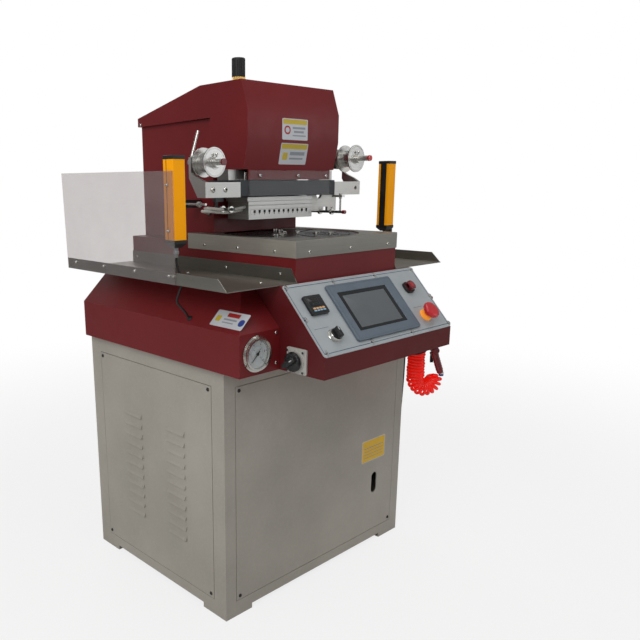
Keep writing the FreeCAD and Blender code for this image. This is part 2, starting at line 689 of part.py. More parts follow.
def curtain_caps(side):
    """Top cap, and bottom cap with a tapered outlet."""
    y0, y1 = CURTAIN_Y[side]
    around = (side, CURTAIN_X0 - 0.4, CURTAIN_X1 + 0.4, y0 - 0.4, y1 + 0.4)
    top = fillet(side_box(*around, CURTAIN_Z1 + 0.1, CURTAIN_Z1 + 8), 1.5,
                 lambda b: b.ZLength > 5 or b.ZMin > CURTAIN_Z1 + 7)
    bottom = side_box(*around, CURTAIN_Z0 - 8, CURTAIN_Z0 - 0.1)
    x, y = side * CURTAIN_X, (y0 + y1) / 2
    x0, x1 = sorted((side * CURTAIN_X0, side * CURTAIN_X1))
    outlet = loft(rectangle(x - 9, x + 9, y - 9, y + 9, CURTAIN_Z0 - 17),
                  rectangle(x0, x1, y0, y1, CURTAIN_Z0 - 8))
    return [top, bottom.fuse(outlet).removeSplitter()]


def curtain_cable(side):
    """Plug below the bar and the cable down to the tray."""
    x, y = CURTAIN_X, sum(CURTAIN_Y[side]) / 2
    plug = cylinder((side * x, y, CURTAIN_Z0 - 17.2), (0, 0, -1), 6.5, 22)
    cable = curve_pipe([(side * x, y, CURTAIN_Z0 - 39.4), (side * x, y - 2, 862),
                        (side * (x - 2), y - 8, 838), (side * (x - 4), y - 16, 824)], 2.6)
    return [plug, cable]


parts["light_curtain_bars"] = group([curtain_bar(side) for side in SIDES])
parts["curtain_trims"] = group(
    curtain_caps(-1) + curtain_caps(1) + [curtain_lens(side) for side in SIDES])
for side, carrier in ((-1, "side_guard"), (1, "right_tray")):
    for z in (1032.0, 934.3):
        add_screw(dome_screws, (side * (GUARD_OUTER + 0.1), sum(CURTAIN_Y[side]) / 2, z),
                  (side, 0, 0), CURTAIN_SCREW, carrier, "light_curtain_bars")

# ------------------------------------------------------------ press C-frame
# (y, z) outline of each cheek plate
FRAME_CHEEK = [
    (312, 664), (312, 1080), (150, 1080), (150, 1150), (200, 1210), (545, 1150), (545, 664)]


def spindle_housing():
    """Bearing barrel on a bridge with two legs, below the rotary table."""
    y0, y1 = TURN_Y - 60, TURN_Y + 60
    housing = fuse(upright(0, TURN_Y, 780.0, 52.0, 94.0), box(-150, 150, y0, y1, 770, 782),
                   box(-150, -138, y0, y1, 663.0, 772), box(138, 150, y0, y1, 663.0, 772))
    return housing.cut(upright(0, TURN_Y, 760, SPINDLE_R + RUN_FIT, 130))


def press_frame():
    frame = box(-180, 180, 60, 545, 646, 664)
    for side in SIDES:
        frame = frame.fuse(side_prism(side, FRAME_CHEEK, 110.0, 128.0))
    frame = frame.fuse(box(-150, 150, 146, 262, 1068, 1088))
    frame = frame.fuse(box(-110, 110, 500, 518, 664, 1140))
    frame = frame.fuse(box(-110, 110, 312, 330, 700, 820))
    frame = frame.cut(upright(0, RAM_Y, 1060, 50.5, 40)).removeSplitter()
    return frame.fuse(spindle_housing()).removeSplitter()


parts["press_frame"] = press_frame()

# ---------------------------------------------------------- column and hood
COLUMN_SEAM = 1064.5       # where the front wall of the column cover ends
HOOD_FRONT = 129.9
HOOD_BACK = 556.8


def column_cover():
    front, back, half, wall = COLUMN_FRONT, COLUMN_BACK, COLUMN_HALF, COVER_SHEET
    step, rear_z = TABLE_BACK + 0.3, PEDESTAL_REAR_Z + 0.3
    outer = prism_x([(front, TABLE_Z + 0.3), (front, COLUMN_SEAM), (back, COLUMN_SEAM),
                     (back, rear_z), (step, rear_z), (step, TABLE_Z + 0.3)], -half, half)
    step, rear_z = TABLE_BACK - 3, PEDESTAL_REAR_Z - 5
    inner = prism_x([(front + wall, TABLE_Z - 5), (front + wall, 1080), (back - wall, 1080),
                     (back - wall, rear_z), (step, rear_z), (step, TABLE_Z - 5)],
                    -half + wall, half - wall)
    cheek = [(front, COLUMN_SEAM), (front, 1190), (back, 1190), (back, COLUMN_SEAM)]
    cheeks = [side_prism(side, cheek, half - wall, half) for side in SIDES]
    rear_wall = box(-half, half, back - wall, back, COLUMN_SEAM, 1184)
    return fuse(outer.cut(inner), *cheeks, rear_wall)


def hood_cover():
    wall = COVER_SHEET
    # (y, z) outlines from the front base over the roof to the rear
    outer = [(HOOD_FRONT, HOOD_BASE), (115.6, 1135.3), (115.6, 1203.3), (137.7, 1268.4),
             (286.4, 1268.0), (HOOD_BACK, 1207.9), (HOOD_BACK, 1186.1),
             (HOOD_BACK, HOOD_BASE)]
    inner = [(HOOD_FRONT + wall, HOOD_BASE - 5), (HOOD_FRONT + wall, HOOD_BASE),
             (115.6 + wall, 1135.4), (115.6 + wall, 1203.0), (137.7 + 1.4, 1268.4 - wall),
             (286.2, 1268.0 - wall), (HOOD_BACK - 1.4, 1207.9 - wall - 0.2),
             (HOOD_BACK - 1.4, HOOD_BASE - 5)]
    hood = prism_x(outer, -HOOD_HALF, HOOD_HALF).cut(
        prism_x(inner, -HOOD_HALF + wall, HOOD_HALF - wall))
    # behind the head the cheeks end at the seam line above the column cover
    hood = hood.cut(prism_x(
        [(250.5, HOOD_BASE - 5), (250.5, 1190.5), (560, 1185.8), (560, HOOD_BASE - 5)],
        -HOOD_HALF - 1, HOOD_HALF + 1))
    # folded strip below the hood front that carries the clear shield
    hood = hood.fuse(box(-149, 149, HOOD_FRONT, HOOD_FRONT + 1.8, 1042.5, HOOD_BASE + 2.0))
    return hood.removeSplitter()


parts["column_cover"] = column_cover()
parts["hood_cover"] = hood_cover()
parts["front_shield"] = fillet(box(-147.3, 147.3, 126.6, 129.6, 1003.8, 1064.8), 1.0,
                               lambda b: b.YLength > 2)
for x in (-111.7, 23.2, 131.0):
    add_screw(dome_screws, (x, 126.5, 1052.0), (0, -1, 0), SHIELD_SCREW,
              "front_shield", "hood_cover")
for side in SIDES:
    add_screw(dome_screws, (side * (HOOD_HALF + 0.05), 545.0, 1191.0), (side, 0, 0),
              HOOD_SCREW, "hood_cover")

# oil filler on the roof
FILLER_X, FILLER_Y = -94.0, 222.0
FILLER_NECK_R = 12.0


def filler_cap():
    cap = fillet(upright(FILLER_X, FILLER_Y, 1286.2, 16.6, 44), 3.0, lambda b: b.ZMin > 1325)
    cap = cap.cut(upright(FILLER_X, FILLER_Y, 1286, FILLER_NECK_R + RUN_FIT, 18))
    angles = [math.radians(20 * i) for i in range(18)]
    flutes = [upright(FILLER_X + 17.2 * math.cos(a), FILLER_Y + 17.2 * math.sin(a),
                      1290, 1.5, 34) for a in angles]
    return cap.cut(group(flutes))


parts["filler_neck"] = fuse(upright(FILLER_X, FILLER_Y, 1268.5, 17.5, 1.5),
                            hexagon(FILLER_X, FILLER_Y, 1269.9, 17.6, 16),
                            upright(FILLER_X, FILLER_Y, 1285.8, FILLER_NECK_R, 16))
parts["filler_cap"] = filler_cap()


# --------------------------------------------------------------- press head
def head_block():
    block = fillet(box(-HEAD_HALF, HEAD_HALF, HEAD_FRONT, HEAD_BACK, HEAD_Z0, HEAD_Z1), 1.5,
                   lambda b: b.YMax < HEAD_FRONT + 0.01 and b.XLength > 100)
    block = block.cut(upright(0, RAM_Y, 990, RAM_R + RUN_FIT, 60))
    for side in SIDES:
        block = block.cut(upright(side * GUIDE_X, RAM_Y, 990, GUIDE_R + RUN_FIT, 60))
    return block


def head_spacer(side):
    spacer = side_box(side, 138.0, 190.0, 156.0, 196.0, HEAD_Z1 + 0.1, 1066.4)
    return fillet(spacer, 1.0, lambda b: b.ZLength > 20)


def press_cylinder():
    body = fuse(upright(0, RAM_Y, HEAD_Z1 + 0.1, 50.0, 168),
                tube((0, RAM_Y, 1088.2), Z_AXIS, 64.0, 45.0, 14))
    body = body.cut(upright(0, RAM_Y, 1056, PISTON_BORE_R, 140))
    return body.cut(upright(0, RAM_Y, 1040, RAM_R + RUN_FIT, 30)).removeSplitter()


def press_ram():
    """Ram with its piston, and the two guide posts."""
    ram = fuse(upright(0, RAM_Y, 1001.2, RAM_R, 165),
               upright(0, RAM_Y, 1160, PISTON_BORE_R - RUN_FIT, 26))
    posts = [upright(side * GUIDE_X, RAM_Y, 1001.2, GUIDE_R, 60) for side in SIDES]
    return group([ram] + posts)


def heater_plate():
    """Plate with a hooked rail down each side that holds the die plate."""
    half, depth = HEATER_HALF, (HEATER_FRONT, HEATER_BACK)
    plate = box(-half, half, *depth, 970.2, 990.0)
    for side in SIDES:
        plate = plate.fuse(side_box(side, 111.2, half, *depth, 957.3, 970.3))
        plate = plate.fuse(side_box(side, 106.2, 111.4, *depth, 957.3, 960.0))
    groove = box(-half - 1, half + 1, HEATER_FRONT - 1, HEATER_FRONT + 0.8, 979.6, 980.6)
    return plate.cut(groove).removeSplitter()


def die_plate():
    front, back = HEATER_FRONT, HEATER_BACK
    plate = fuse(box(-HEATER_HALF, HEATER_HALF, front - 0.5, back, 946.0, 957.0),
                 box(-106.0, 106.0, front, back, 956.9, 960.3),
                 box(-111.0, 111.0, front, back, 960.2, 970.0))
    cuts = []
    for i in range(12):
        x = -96.0 + i * (192.0 / 11)
        cuts.append(box(x - 3.6, x + 3.6, front - 1, front + 16, 961.4, 968.6))
        cuts.append(along_y(x, front - 1, 959.0, 1.5, 13))
    return plate.cut(group(cuts)).removeSplitter()


parts["head_block"] = head_block()
parts["head_spacers"] = group([head_spacer(side) for side in SIDES])
parts["press_cylinder"] = press_cylinder()
parts["press_ram"] = press_ram()
parts["insulation_plate"] = fillet(
    box(-HEATER_HALF - 6, HEATER_HALF, HEATER_FRONT - 3, HEATER_BACK, 990.2, 1001.0),
    1.0, lambda b: b.ZLength > 5)
parts["heater_plate"] = heater_plate()
parts["die_plate"] = die_plate()


# ------------------------------------------------------------- rotary table
def turn_point(radius, degrees):
    angle = math.radians(degrees)
    return radius * math.cos(angle), TURN_Y + radius * math.sin(angle)


HUB_BOLTS = [turn_point(HUB_BOLT_RING, 90 * i) for i in range(4)]


def rotary_table():
    table = upright(0, TURN_Y, 888.0, TURN_R, 20.0)
    for ring in (150.0, 120.0, 88.0, 58.0):
        table = table.cut(tube((0, TURN_Y, 906.4), Z_AXIS, ring + 1.5, ring - 1.5, 3))
    t_slots = []
    for i in range(8):
        slot = fuse(box(38, TURN_R + 2, -4.5, 4.5, 900.0, 910.0),
                    box(38, TURN_R + 2, -8.5, 8.5, 893.5, 900.1))
        slot.rotate(V(0, 0, 0), Z_AXIS, 22.5 + 45.0 * i)
        slot.translate(V(0, TURN_Y, 0))
        t_slots.append(slot)
    table = table.cut(group(t_slots))
    for x, y in HUB_BOLTS:
        table = table.cut(upright(x, y, 886, 4.2, 30))
    return table.removeSplitter()


def table_bolts():
    """Four socket bolts in the hub, and clamp bolts in three T-slots."""
    bolts = []
    for x, y in HUB_BOLTS:
        bolt = fuse(upright(x, y, 908.1, 6.5, 5.0), upright(x, y, 877, 4.0, 31.2))
        bolts.append(bolt.cut(hexagon(x, y, 910, 3, 5)))
    for i in (1, 4, 6):
        for radius in (70.0, 107.0):
            x, y = turn_point(radius, 22.5 + 45.0 * i)
            bolts.append(fuse(upright(x, y, 908.1, 7.5, 6.0), upright(x, y, 894, 4.0, 14.2),
                              upright(x, y, 894, 8.0, 5.5)))
    return group(bolts)


def table_spindle():
    spindle = fuse(upright(0, TURN_Y, 876.0, 44.0, 11.9),
                   upright(0, TURN_Y, 770.0, SPINDLE_R, 107))
    for x, y in HUB_BOLTS:
        spindle = spindle.cut(upright(x, y, 860, 4.15, 40))
    return spindle.removeSplitter()


parts["rotary_table"] = rotary_table()
parts["table_bolts"] = table_bolts()
parts["table_spindle"] = table_spindle()

# ---------------------------------------------------------------- foil feed
ROD_X = 178.0              # guide rods, left and right
RIGHT_ROD_Z = 957.0
LEFT_ROD_Z = 973.0
PRE_GUIDE_X, PRE_GUIDE_Z = -205.0, 984.0


def reel_bracket(side):
    """Bar across the head, a rising cheek, and the plate behind the reel."""
    z = REEL_Z[side]
    drop = min(0.0, z - 1085.0)
    bar = box(173.2, 282.0, 131.0, 141.0, HEAD_Z0 - 1.0, 1037.0)
    cheek = prism_x([(131.0, 1002.0), (131.0, 1037.0), (150.0, 1047.5 + drop),
                     (171.0, 1055.5 + drop), (181.9, 1061.5 + drop), (181.9, 1093.0),
                     (190.0, 1093.0), (190.0, 1046.0), (160.0, 1002.0)], 274.0, 282.0)
    back = prism_y([(282.0, z - 27), (282.0, z + 8), (262.0, z + 25), (246.0, z + 25),
                    (234.0, z + 12), (234.0, z - 12), (250.0, z - 27)], 182.0, 190.0)
    bracket = fuse(bar, cheek, back)
    bracket = bracket.cut(along_y(REEL_X, 170, z, REEL_JOURNAL_R + RUN_FIT, 40))
    return mirrored(bracket, side).removeSplitter()


def side_shield():
    """Plate that closes the right of the heated zone."""
    shield = box(119.5, 222.0, 166.0, 174.0, 959.5, 1002.8).cut(
        along_y(150.0, 160, 1004.0, 11.0, 20))
    return shield.cut(box(ROD_X - 8.5, ROD_X + 8.5, 160, 180, 950, 970)).removeSplitter()


def reel(side):
    x, y, z, radius = side * REEL_X, REEL_FRONT, REEL_Z[side], REEL_R[side]
    body = fuse(along_y(x, y, z, radius, 4.0), along_y(x, y + 38, z, radius, 4.0),
                along_y(x, y + 3, z, 22.0, 36.5), along_y(x, y - 12, z, 12.0, 13))
    body = body.fuse(along_y(x, y + 41, z, 11.0, 12.0))
    return body.cut(along_y(x, 80, z, REEL_SHAFT_R + RUN_FIT, 120)).removeSplitter()


def reel_shaft(side, front, collar, journal):
    """Shaft with a front collar and a rear journal of the given lengths."""
    x, z = side * REEL_X, REEL_Z[side]
    return [along_y(x, front, z, REEL_SHAFT_R, 182 - front),
            along_y(x, front, z, REEL_JOURNAL_R, collar),
            along_y(x, 180.5, z, REEL_JOURNAL_R, journal)]


def unwind_shaft():
    x, z = -REEL_X, REEL_Z[-1]
    shaft = fuse(*reel_shaft(-1, 99, 14.8, 14), along_y(x, 190.2, z, 12.0, 6))
    return fuse(shaft, along_y(x, 196, z, REEL_SHAFT_R, 10), along_y(x, 205.6, z, 9.0, 4))


def rewind_reel():
    """Reel, driven shaft and end cap, which turn together."""
    return group([reel(1), fuse(*reel_shaft(1, 84, 29.8, 10)),
                  along_y(REEL_X, 78.0, REEL_Z[1], 7.6, 5.9)])


def rewind_motor():
    z = REEL_Z[1]
    motor = fuse(box(229, 281, 190.2, 214, z - 26, z + 26), along_y(REEL_X, 213, z, 24.0, 40))
    return motor.cut(along_y(REEL_X, 188, z, 7.5, 6)).removeSplitter()


def brake_lever():
    """Hub behind the unwind reel with a slanted rod rising from it."""
    x, z = -REEL_X, REEL_Z[-1]
    lever = fuse(along_y(x, 196.4, z, 13.0, 9.0), along_y(x - 11.0, 197.4, z + 1.0, 6.5, 7.0),
                 cylinder((x - 11.0, 200.9, z + 1.0), (0.33, 0, 0.944), 3.4, 76.0))
    return lever.cut(along_y(x, 190, z, REEL_SHAFT_R + RUN_FIT, 30)).removeSplitter()


def right_guide_rod():
    """Hung at its front end from a lug and at its rear end from a post."""
    x, z = ROD_X, RIGHT_ROD_Z
    post = fuse(upright(x, 214, z, 4.0, 34), box(160, x + 6, 208, 220, 990, 1002.8))
    lug = box(x - 6, x + 6, 104.0, 139.0, 996.0, 1001.8)
    return fuse(along_y(x, 106, z, 3.4, 112), upright(x, 114, z, 2.6, 36),
                upright(x, 114, z + 35, 4.0, 14), lug, post)


def left_guide_rod():
    """Short, higher, carried by its rear post only."""
    return fuse(along_y(-ROD_X, 150, LEFT_ROD_Z, 3.4, 68),
                upright(-ROD_X, 214, LEFT_ROD_Z, 4.0, 20),
                box(-ROD_X - 6, -160, 208, 220, 990, 1002.8))


def pre_guide():
    """Small rod on the left of the column."""
    return fuse(along_y(PRE_GUIDE_X, 222, PRE_GUIDE_Z, 3.2, 86),
                box(-210, -COLUMN_HALF - 0.2, 300, 308, 974, 994))


# x, front y, z, outer radius, bore radius, length
GUIDE_COLLARS = [
    (ROD_X, 140.0, RIGHT_ROD_Z, 7.5, 3.45, 7.0),
    (ROD_X, 182.0, RIGHT_ROD_Z, 7.5, 3.45, 7.0),
    (-ROD_X, 158.0, LEFT_ROD_Z, 8.0, 3.45, 6.0),
    (-ROD_X, 188.0, LEFT_ROD_Z, 8.0, 3.45, 6.0),
    (PRE_GUIDE_X, 244, PRE_GUIDE_Z, 7.5, 3.25, 7.0),
]

parts["left_reel_bracket"] = reel_bracket(-1)
for x in (-259.0, -221.0):
    add_screw(dome_screws, (x, 130.95, 1020.0), (0, -1, 0), BRACKET_SCREW, "left_reel_bracket")
parts["right_reel_bracket"] = group([
    reel_bracket(1).cut(along_y(263.0, 120, 1020.0, 5.0, 40)).removeSplitter(),
    side_shield()])
parts["unwind_reel"] = reel(-1)
parts["rewind_reel"] = rewind_reel()
parts["rewind_motor"] = rewind_motor()
parts["brake_lever"] = brake_lever()
parts["foil_rods"] = group([right_guide_rod(), left_guide_rod(), pre_guide(), unwind_shaft()])
parts["guide_collars"] = group([
    tube((x, y, z), Y_AXIS, outer, bore, length)
    for x, y, z, outer, bore, length in GUIDE_COLLARS])
parts["end_caps"] = group([along_y(ROD_X, 96.0, RIGHT_ROD_Z, 4.9, 9.9),
                           along_y(-REEL_X, 93.0, REEL_Z[-1], 7.6, 5.9)])


# ------------------------------------------------------- inside the cabinet
def power_unit():
    tank = box(-250, 60, 120, 430, 19.2, 219).cut(box(-245, 55, 125, 425, 24, 214))
    tank = tank.fuse(box(-60, 0, 200, 260, 219, 231)).removeSplitter()
    motor = fuse(upright(-150, 270, 219.2, 62, 12), upright(-150, 270, 231, 52, 190),
                 upright(-150, 270, 420, 46, 20), box(-112, -88, 245, 295, 300, 360))
    valve = fuse(box(-40, 50, 330, 410, 219.2, 270), box(-30, 40, 345, 395, 269, 320))
    return group([tank, motor, valve])


def electrical_plate():
    """Upright plate with four device blocks on its left face and two feet."""
    plate = fuse(box(200, 204, 90, 460, 80, 560),
                 box(120, 200.5, 110, 200, 420, 540), box(130, 200.5, 220, 440, 440, 530),
                 box(140, 200.5, 120, 420, 300, 380), box(110, 200.5, 130, 250, 110, 230))
    return fuse(plate, box(150, 204, 90, 94, 19.2, 90), box(150, 204, 456, 460, 19.2, 90))


parts["power_unit"] = power_unit()
parts["electrical_plate"] = electrical_plate()

# ------------------------------------------------------- air gun and cables
HOSE_LEFT = V(206.0, -132.0, 0)      # left leg of the hanging hose
HOSE_RIGHT = V(241.4, -164.3, 0)     # right leg
HOSE_BEND_Z = 533.0                  # where the bottom bend starts
GUN_BASE = V(256.5, -177.0, 541.2)
GRIP_AXIS = V(-13.3, 12.1, 53.0).normalize()
BARREL_AXIS = V(0.67, 0.742, 0)      # points away from the operator
GRIP_FOOT = GUN_BASE + V(0, 0, 7.0)
GRIP_TOP = GRIP_FOOT + GRIP_AXIS * 60.0


def air_hose():
    """Thick U-shaped hose with its hanger, and a hook ring around the hanger."""
    x, y = HOSE_LEFT.x, HOSE_LEFT.y
    start, left = V(x, y, 598.0), V(x, y, HOSE_BEND_Z)
    right = V(HOSE_RIGHT.x, HOSE_RIGHT.y, HOSE_BEND_Z)
    end = V(HOSE_RIGHT.x, HOSE_RIGHT.y, 541.0)
    middle = (HOSE_LEFT + HOSE_RIGHT) * 0.5
    bottom = V(middle.x, middle.y, HOSE_BEND_Z - (HOSE_RIGHT - HOSE_LEFT).Length / 2)
    path = Part.Wire([Part.makeLine(start, left), Part.Arc(left, bottom, right).toShape(),
                      Part.makeLine(right, end)])
    section = Part.Wire([Part.makeCircle(22.5, start, V(0, 0, -1))])
    hose = path.makePipeShell([section], True, True)
    hose = hose.fuse(upright(x, y, 597.0, 4.0, 33.0)).removeSplitter()
    ring = Part.makeTorus(14.0, 2.0, V(x - 2.0, y + 2.0, 612.0), Z_AXIS)
    ring = ring.fuse(upright(x + 12.0, y + 2.0, 612.0, 2.2, 17.9)).removeSplitter()
    return group([hose, ring])


def air_gun():
    lift = V(0, 0, 4.0)
    return fuse(cylinder(GUN_BASE, Z_AXIS, 6.5, 8.0), cylinder(GRIP_FOOT, GRIP_AXIS, 10.5, 62.0),
                cylinder(GRIP_TOP - BARREL_AXIS * 11.0 + lift, BARREL_AXIS, 9.5, 58.0),
                cylinder(GRIP_TOP + BARREL_AXIS * 46.0 + lift, BARREL_AXIS, 3.0, 34.0))


def air_gun_trigger():
    trigger = along_y(0, -5.5, 0, 3.0, 11.0).fuse(box(-1.5, 1.5, -4.5, 4.5, -27.0, 0))
    heading = math.degrees(math.atan2(BARREL_AXIS.y, BARREL_AXIS.x))
    trigger.rotate(V(0, 0, 0), Z_AXIS, heading)
    trigger.translate(GRIP_TOP + BARREL_AXIS * 27.0 + V(0, 0, -9.5))
    return trigger.removeSplitter()


# cable from the housing down outside the right of the cabinet to the floor
FLOOR_CABLE = [
    (361.0, 8, 630.0), (361.0, 8, 360.0), (361.0, 60, 190.0),
    (362.0, 170, 60.0), (366.0, 300, 8.0), (384.0, 520, 8.0)]

parts["air_hose"] = air_hose()
parts["air_gun"] = air_gun()
parts["air_gun_trigger"] = air_gun_trigger()
parts["cables"] = group(curtain_cable(-1) + curtain_cable(1) + [rod_chain(FLOOR_CABLE, 4.0)])

# ---------------------------------------------------- drill and write parts
for name, hole in drill_jobs:
    parts[name] = parts[name].cut(hole)
parts["dome_screws"] = group(dome_screws)

for name, shape in parts.items():
    placed = shape.copy()
    placed.translate(V(0, -FRAME_Y, 0))
    solids = placed.Solids
    placed = solids[0] if len(solids) == 1 else Part.makeCompound(solids)
    placed.exportStep("parts/%s.step" % name)
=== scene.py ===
"""Foil press with a rotary table, a sloping control console and an air gun.

The machine stands on z = 0 and faces -y; x runs to its right. This script gives them
finishes, replaces some with detailed meshes, and adds labels, a floor, lights and a
camera. Places are in metres. Outlines and profiles are in millimetres, as are the
heights of extrusions and the coordinates on the control panel.
"""
import json
import math
import random

import bmesh
import bpy
from mathutils import Matrix, Vector


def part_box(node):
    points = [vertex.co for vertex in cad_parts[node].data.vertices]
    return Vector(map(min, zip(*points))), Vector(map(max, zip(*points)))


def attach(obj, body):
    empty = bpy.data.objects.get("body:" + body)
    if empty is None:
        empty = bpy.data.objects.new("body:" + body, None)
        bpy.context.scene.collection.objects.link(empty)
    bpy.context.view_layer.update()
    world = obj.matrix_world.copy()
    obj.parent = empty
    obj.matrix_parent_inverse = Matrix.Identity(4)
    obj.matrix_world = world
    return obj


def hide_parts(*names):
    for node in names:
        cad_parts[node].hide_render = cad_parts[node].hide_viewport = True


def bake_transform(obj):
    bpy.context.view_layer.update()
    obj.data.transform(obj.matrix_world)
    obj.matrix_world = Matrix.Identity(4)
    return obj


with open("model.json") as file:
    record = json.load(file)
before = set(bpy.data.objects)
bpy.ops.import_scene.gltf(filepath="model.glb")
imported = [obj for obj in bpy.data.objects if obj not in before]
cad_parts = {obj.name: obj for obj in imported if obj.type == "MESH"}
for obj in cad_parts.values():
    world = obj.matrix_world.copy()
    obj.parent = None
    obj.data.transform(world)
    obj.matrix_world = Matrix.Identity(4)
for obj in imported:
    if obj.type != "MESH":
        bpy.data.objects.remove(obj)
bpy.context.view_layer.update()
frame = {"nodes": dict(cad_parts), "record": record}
NODES = frame["nodes"]
SLOT = {part["node"]: part["material_slot"] for part in frame["record"]["subparts"]}
rng = random.Random(11)

MILLI = 1e-3
ORIGIN_DEPTH = 0.182315     # from the cabinet's front plane back to the frame's origin
UP = Vector((0, 0, 1))
FRONT = Vector((0, -1, 0))
LEFT = Vector((-1, 0, 0))


def depth(distance):
    """y of a place this far behind the cabinet's front plane."""
    return distance - ORIGIN_DEPTH


# ================================================================ shader kit
MATERIALS = {}


class Shader:
    """Node tree of a material or world. An input takes a socket or a plain value."""

    def __init__(self, owner, output="ShaderNodeOutputMaterial"):
        owner.use_nodes = True
        self.tree = owner.node_tree
        self.tree.nodes.clear()
        self.output = self.add(output)

    def feed(self, node, inputs):
        for key, value in inputs.items():
            socket = node.inputs[key]
            if isinstance(value, bpy.types.NodeSocket):
                self.tree.links.new(value, socket)
            else:
                socket.default_value = (*value, 1.0) if socket.type == "RGBA" else value

    def add(self, kind, inputs=None, **settings):
        node = self.tree.nodes.new(kind)
        for key, value in settings.items():
            setattr(node, key, value)
        self.feed(node, inputs or {})
        return node

    def end(self, node):
        self.feed(self.output, {0: node.outputs[0]})

    def object_coords(self):
        return self.add("ShaderNodeTexCoord").outputs["Object"]

    def coords(self, scale=(1, 1, 1)):
        inputs = {"Vector": self.object_coords(), "Scale": scale}
        return self.add("ShaderNodeMapping", inputs).outputs[0]

    def noise(self, vector, scale, detail, rough=0.55):
        inputs = {"Vector": vector, "Scale": scale, "Detail": detail, "Roughness": rough}
        return self.add("ShaderNodeTexNoise", inputs).outputs["Fac"]

    def remap(self, value, to, source=(0.3, 0.7), **settings):
        inputs = {"From Min": source[0], "From Max": source[1],
                  "To Min": to[0], "To Max": to[1], "Value": value}
        return self.add("ShaderNodeMapRange", inputs, **settings).outputs[0]

    def mix(self, factor, first, second):
        inputs = {6: first, 7: second, 0: factor}
        return self.add("ShaderNodeMix", inputs, data_type="RGBA").outputs[2]

    def mix_shaders(self, factor, first, second):
        return self.add("ShaderNodeMixShader",
                        {0: factor, 1: first.outputs[0], 2: second.outputs[0]})

    def multiply(self, first, second):
        return self.add("ShaderNodeMath", {0: first, 1: second},
                        operation="MULTIPLY").outputs[0]

    def vector_math(self, operation, inputs):
        return self.add("ShaderNodeVectorMath", inputs, operation=operation)

    def bump(self, height, strength, distance=0.0003):
        inputs = {"Strength": strength, "Distance": distance, "Height": height}
        self.feed(self.bsdf, {"Normal": self.add("ShaderNodeBump", inputs).outputs[0]})

    def edge_mask(self, radius):
        """1 on convex edges, 0 on flats."""
        bevel = self.add("ShaderNodeBevel", {"Radius": radius}, samples=4)
        geometry = self.add("ShaderNodeNewGeometry")
        dot = self.vector_math("DOT_PRODUCT",
                               {0: bevel.outputs[0], 1: geometry.outputs["Normal"]})
        return self.remap(dot.outputs["Value"], to=(1.0, 0.0), source=(0.90, 0.995))


def new_shader(name):
    MATERIALS[name] = bpy.data.materials.new(name)
    return Shader(MATERIALS[name])


def principled(name):
    shader = new_shader(name)
    shader.bsdf = shader.add("ShaderNodeBsdfPrincipled")
    shader.end(shader.bsdf)
    return shader


def scaled(colour, factor):
    return tuple(channel * factor for channel in colour)


def lightened(colour, factor, lift):
    return tuple(min(1, channel * factor + lift) for channel in colour)


# =============================================================== materials
def paint(name, colour, rough, peel, wear, dust, grain=900.0, specular=0.4):
    """Sprayed enamel: tone drift, orange peel, dust and rubbed edges."""
    shader = principled(name)
    place = shader.coords()
    drift = shader.noise(place, scale=3.2, detail=4.0)
    fine = shader.noise(place, scale=140.0, detail=4.0)
    base = shader.mix(shader.remap(drift, to=(0.0, 1.0)),
                      scaled(colour, 0.86), scaled(colour, 1.10))
    base = shader.mix(shader.remap(fine, to=(0.0, dust), source=(0.45, 0.75)),
                      base, lightened(colour, factor=1.5, lift=0.03))
    edges = shader.edge_mask(radius=0.0012)
    breaks = shader.remap(shader.noise(place, scale=60.0, detail=5.0),
                          to=(0.0, 1.0), source=(0.5, 0.62))
    base = shader.mix(shader.multiply(edges, breaks), base, wear)
    gloss = shader.noise(place, scale=22.0, detail=5.0)
    shader.feed(shader.bsdf, {
        "Base Color": base,
        "Roughness": shader.remap(gloss, to=(rough - 0.05, rough + 0.09)),
        "Coat Roughness": 0.18,
        "Specular IOR Level": specular})
    shader.bump(shader.noise(place, scale=grain, detail=2.0), strength=peel, distance=0.0004)
    return shader


def brushed(name, colour, rough, axis, bump=0.10, anisotropy=0.5, blotch=0.10, lines=1400.0):
    """Sheet or bar with grain along one axis, handling marks and faint stains."""
    shader = principled(name)
    stretch = [lines] * 3
    stretch[axis] = 9.0
    grain = shader.noise(shader.coords(stretch), scale=1.0, detail=4.0, rough=0.7)
    stains = shader.noise(shader.coords(), scale=9.0, detail=6.0)
    base = shader.mix(shader.remap(grain, to=(0.0, 1.0)),
                      scaled(colour, 0.86), scaled(colour, 1.14))
    base = shader.mix(shader.remap(stains, to=(0.0, blotch * 3), source=(0.45, 0.75)),
                      base, scaled(colour, 0.6))
    shader.feed(shader.bsdf, {
        "Base Color": base,
        "Metallic": 1.0,
        "Anisotropic": anisotropy,
        "Roughness": shader.remap(grain, to=(rough - 0.06, rough + 0.10))})
    shader.bump(grain, strength=bump)


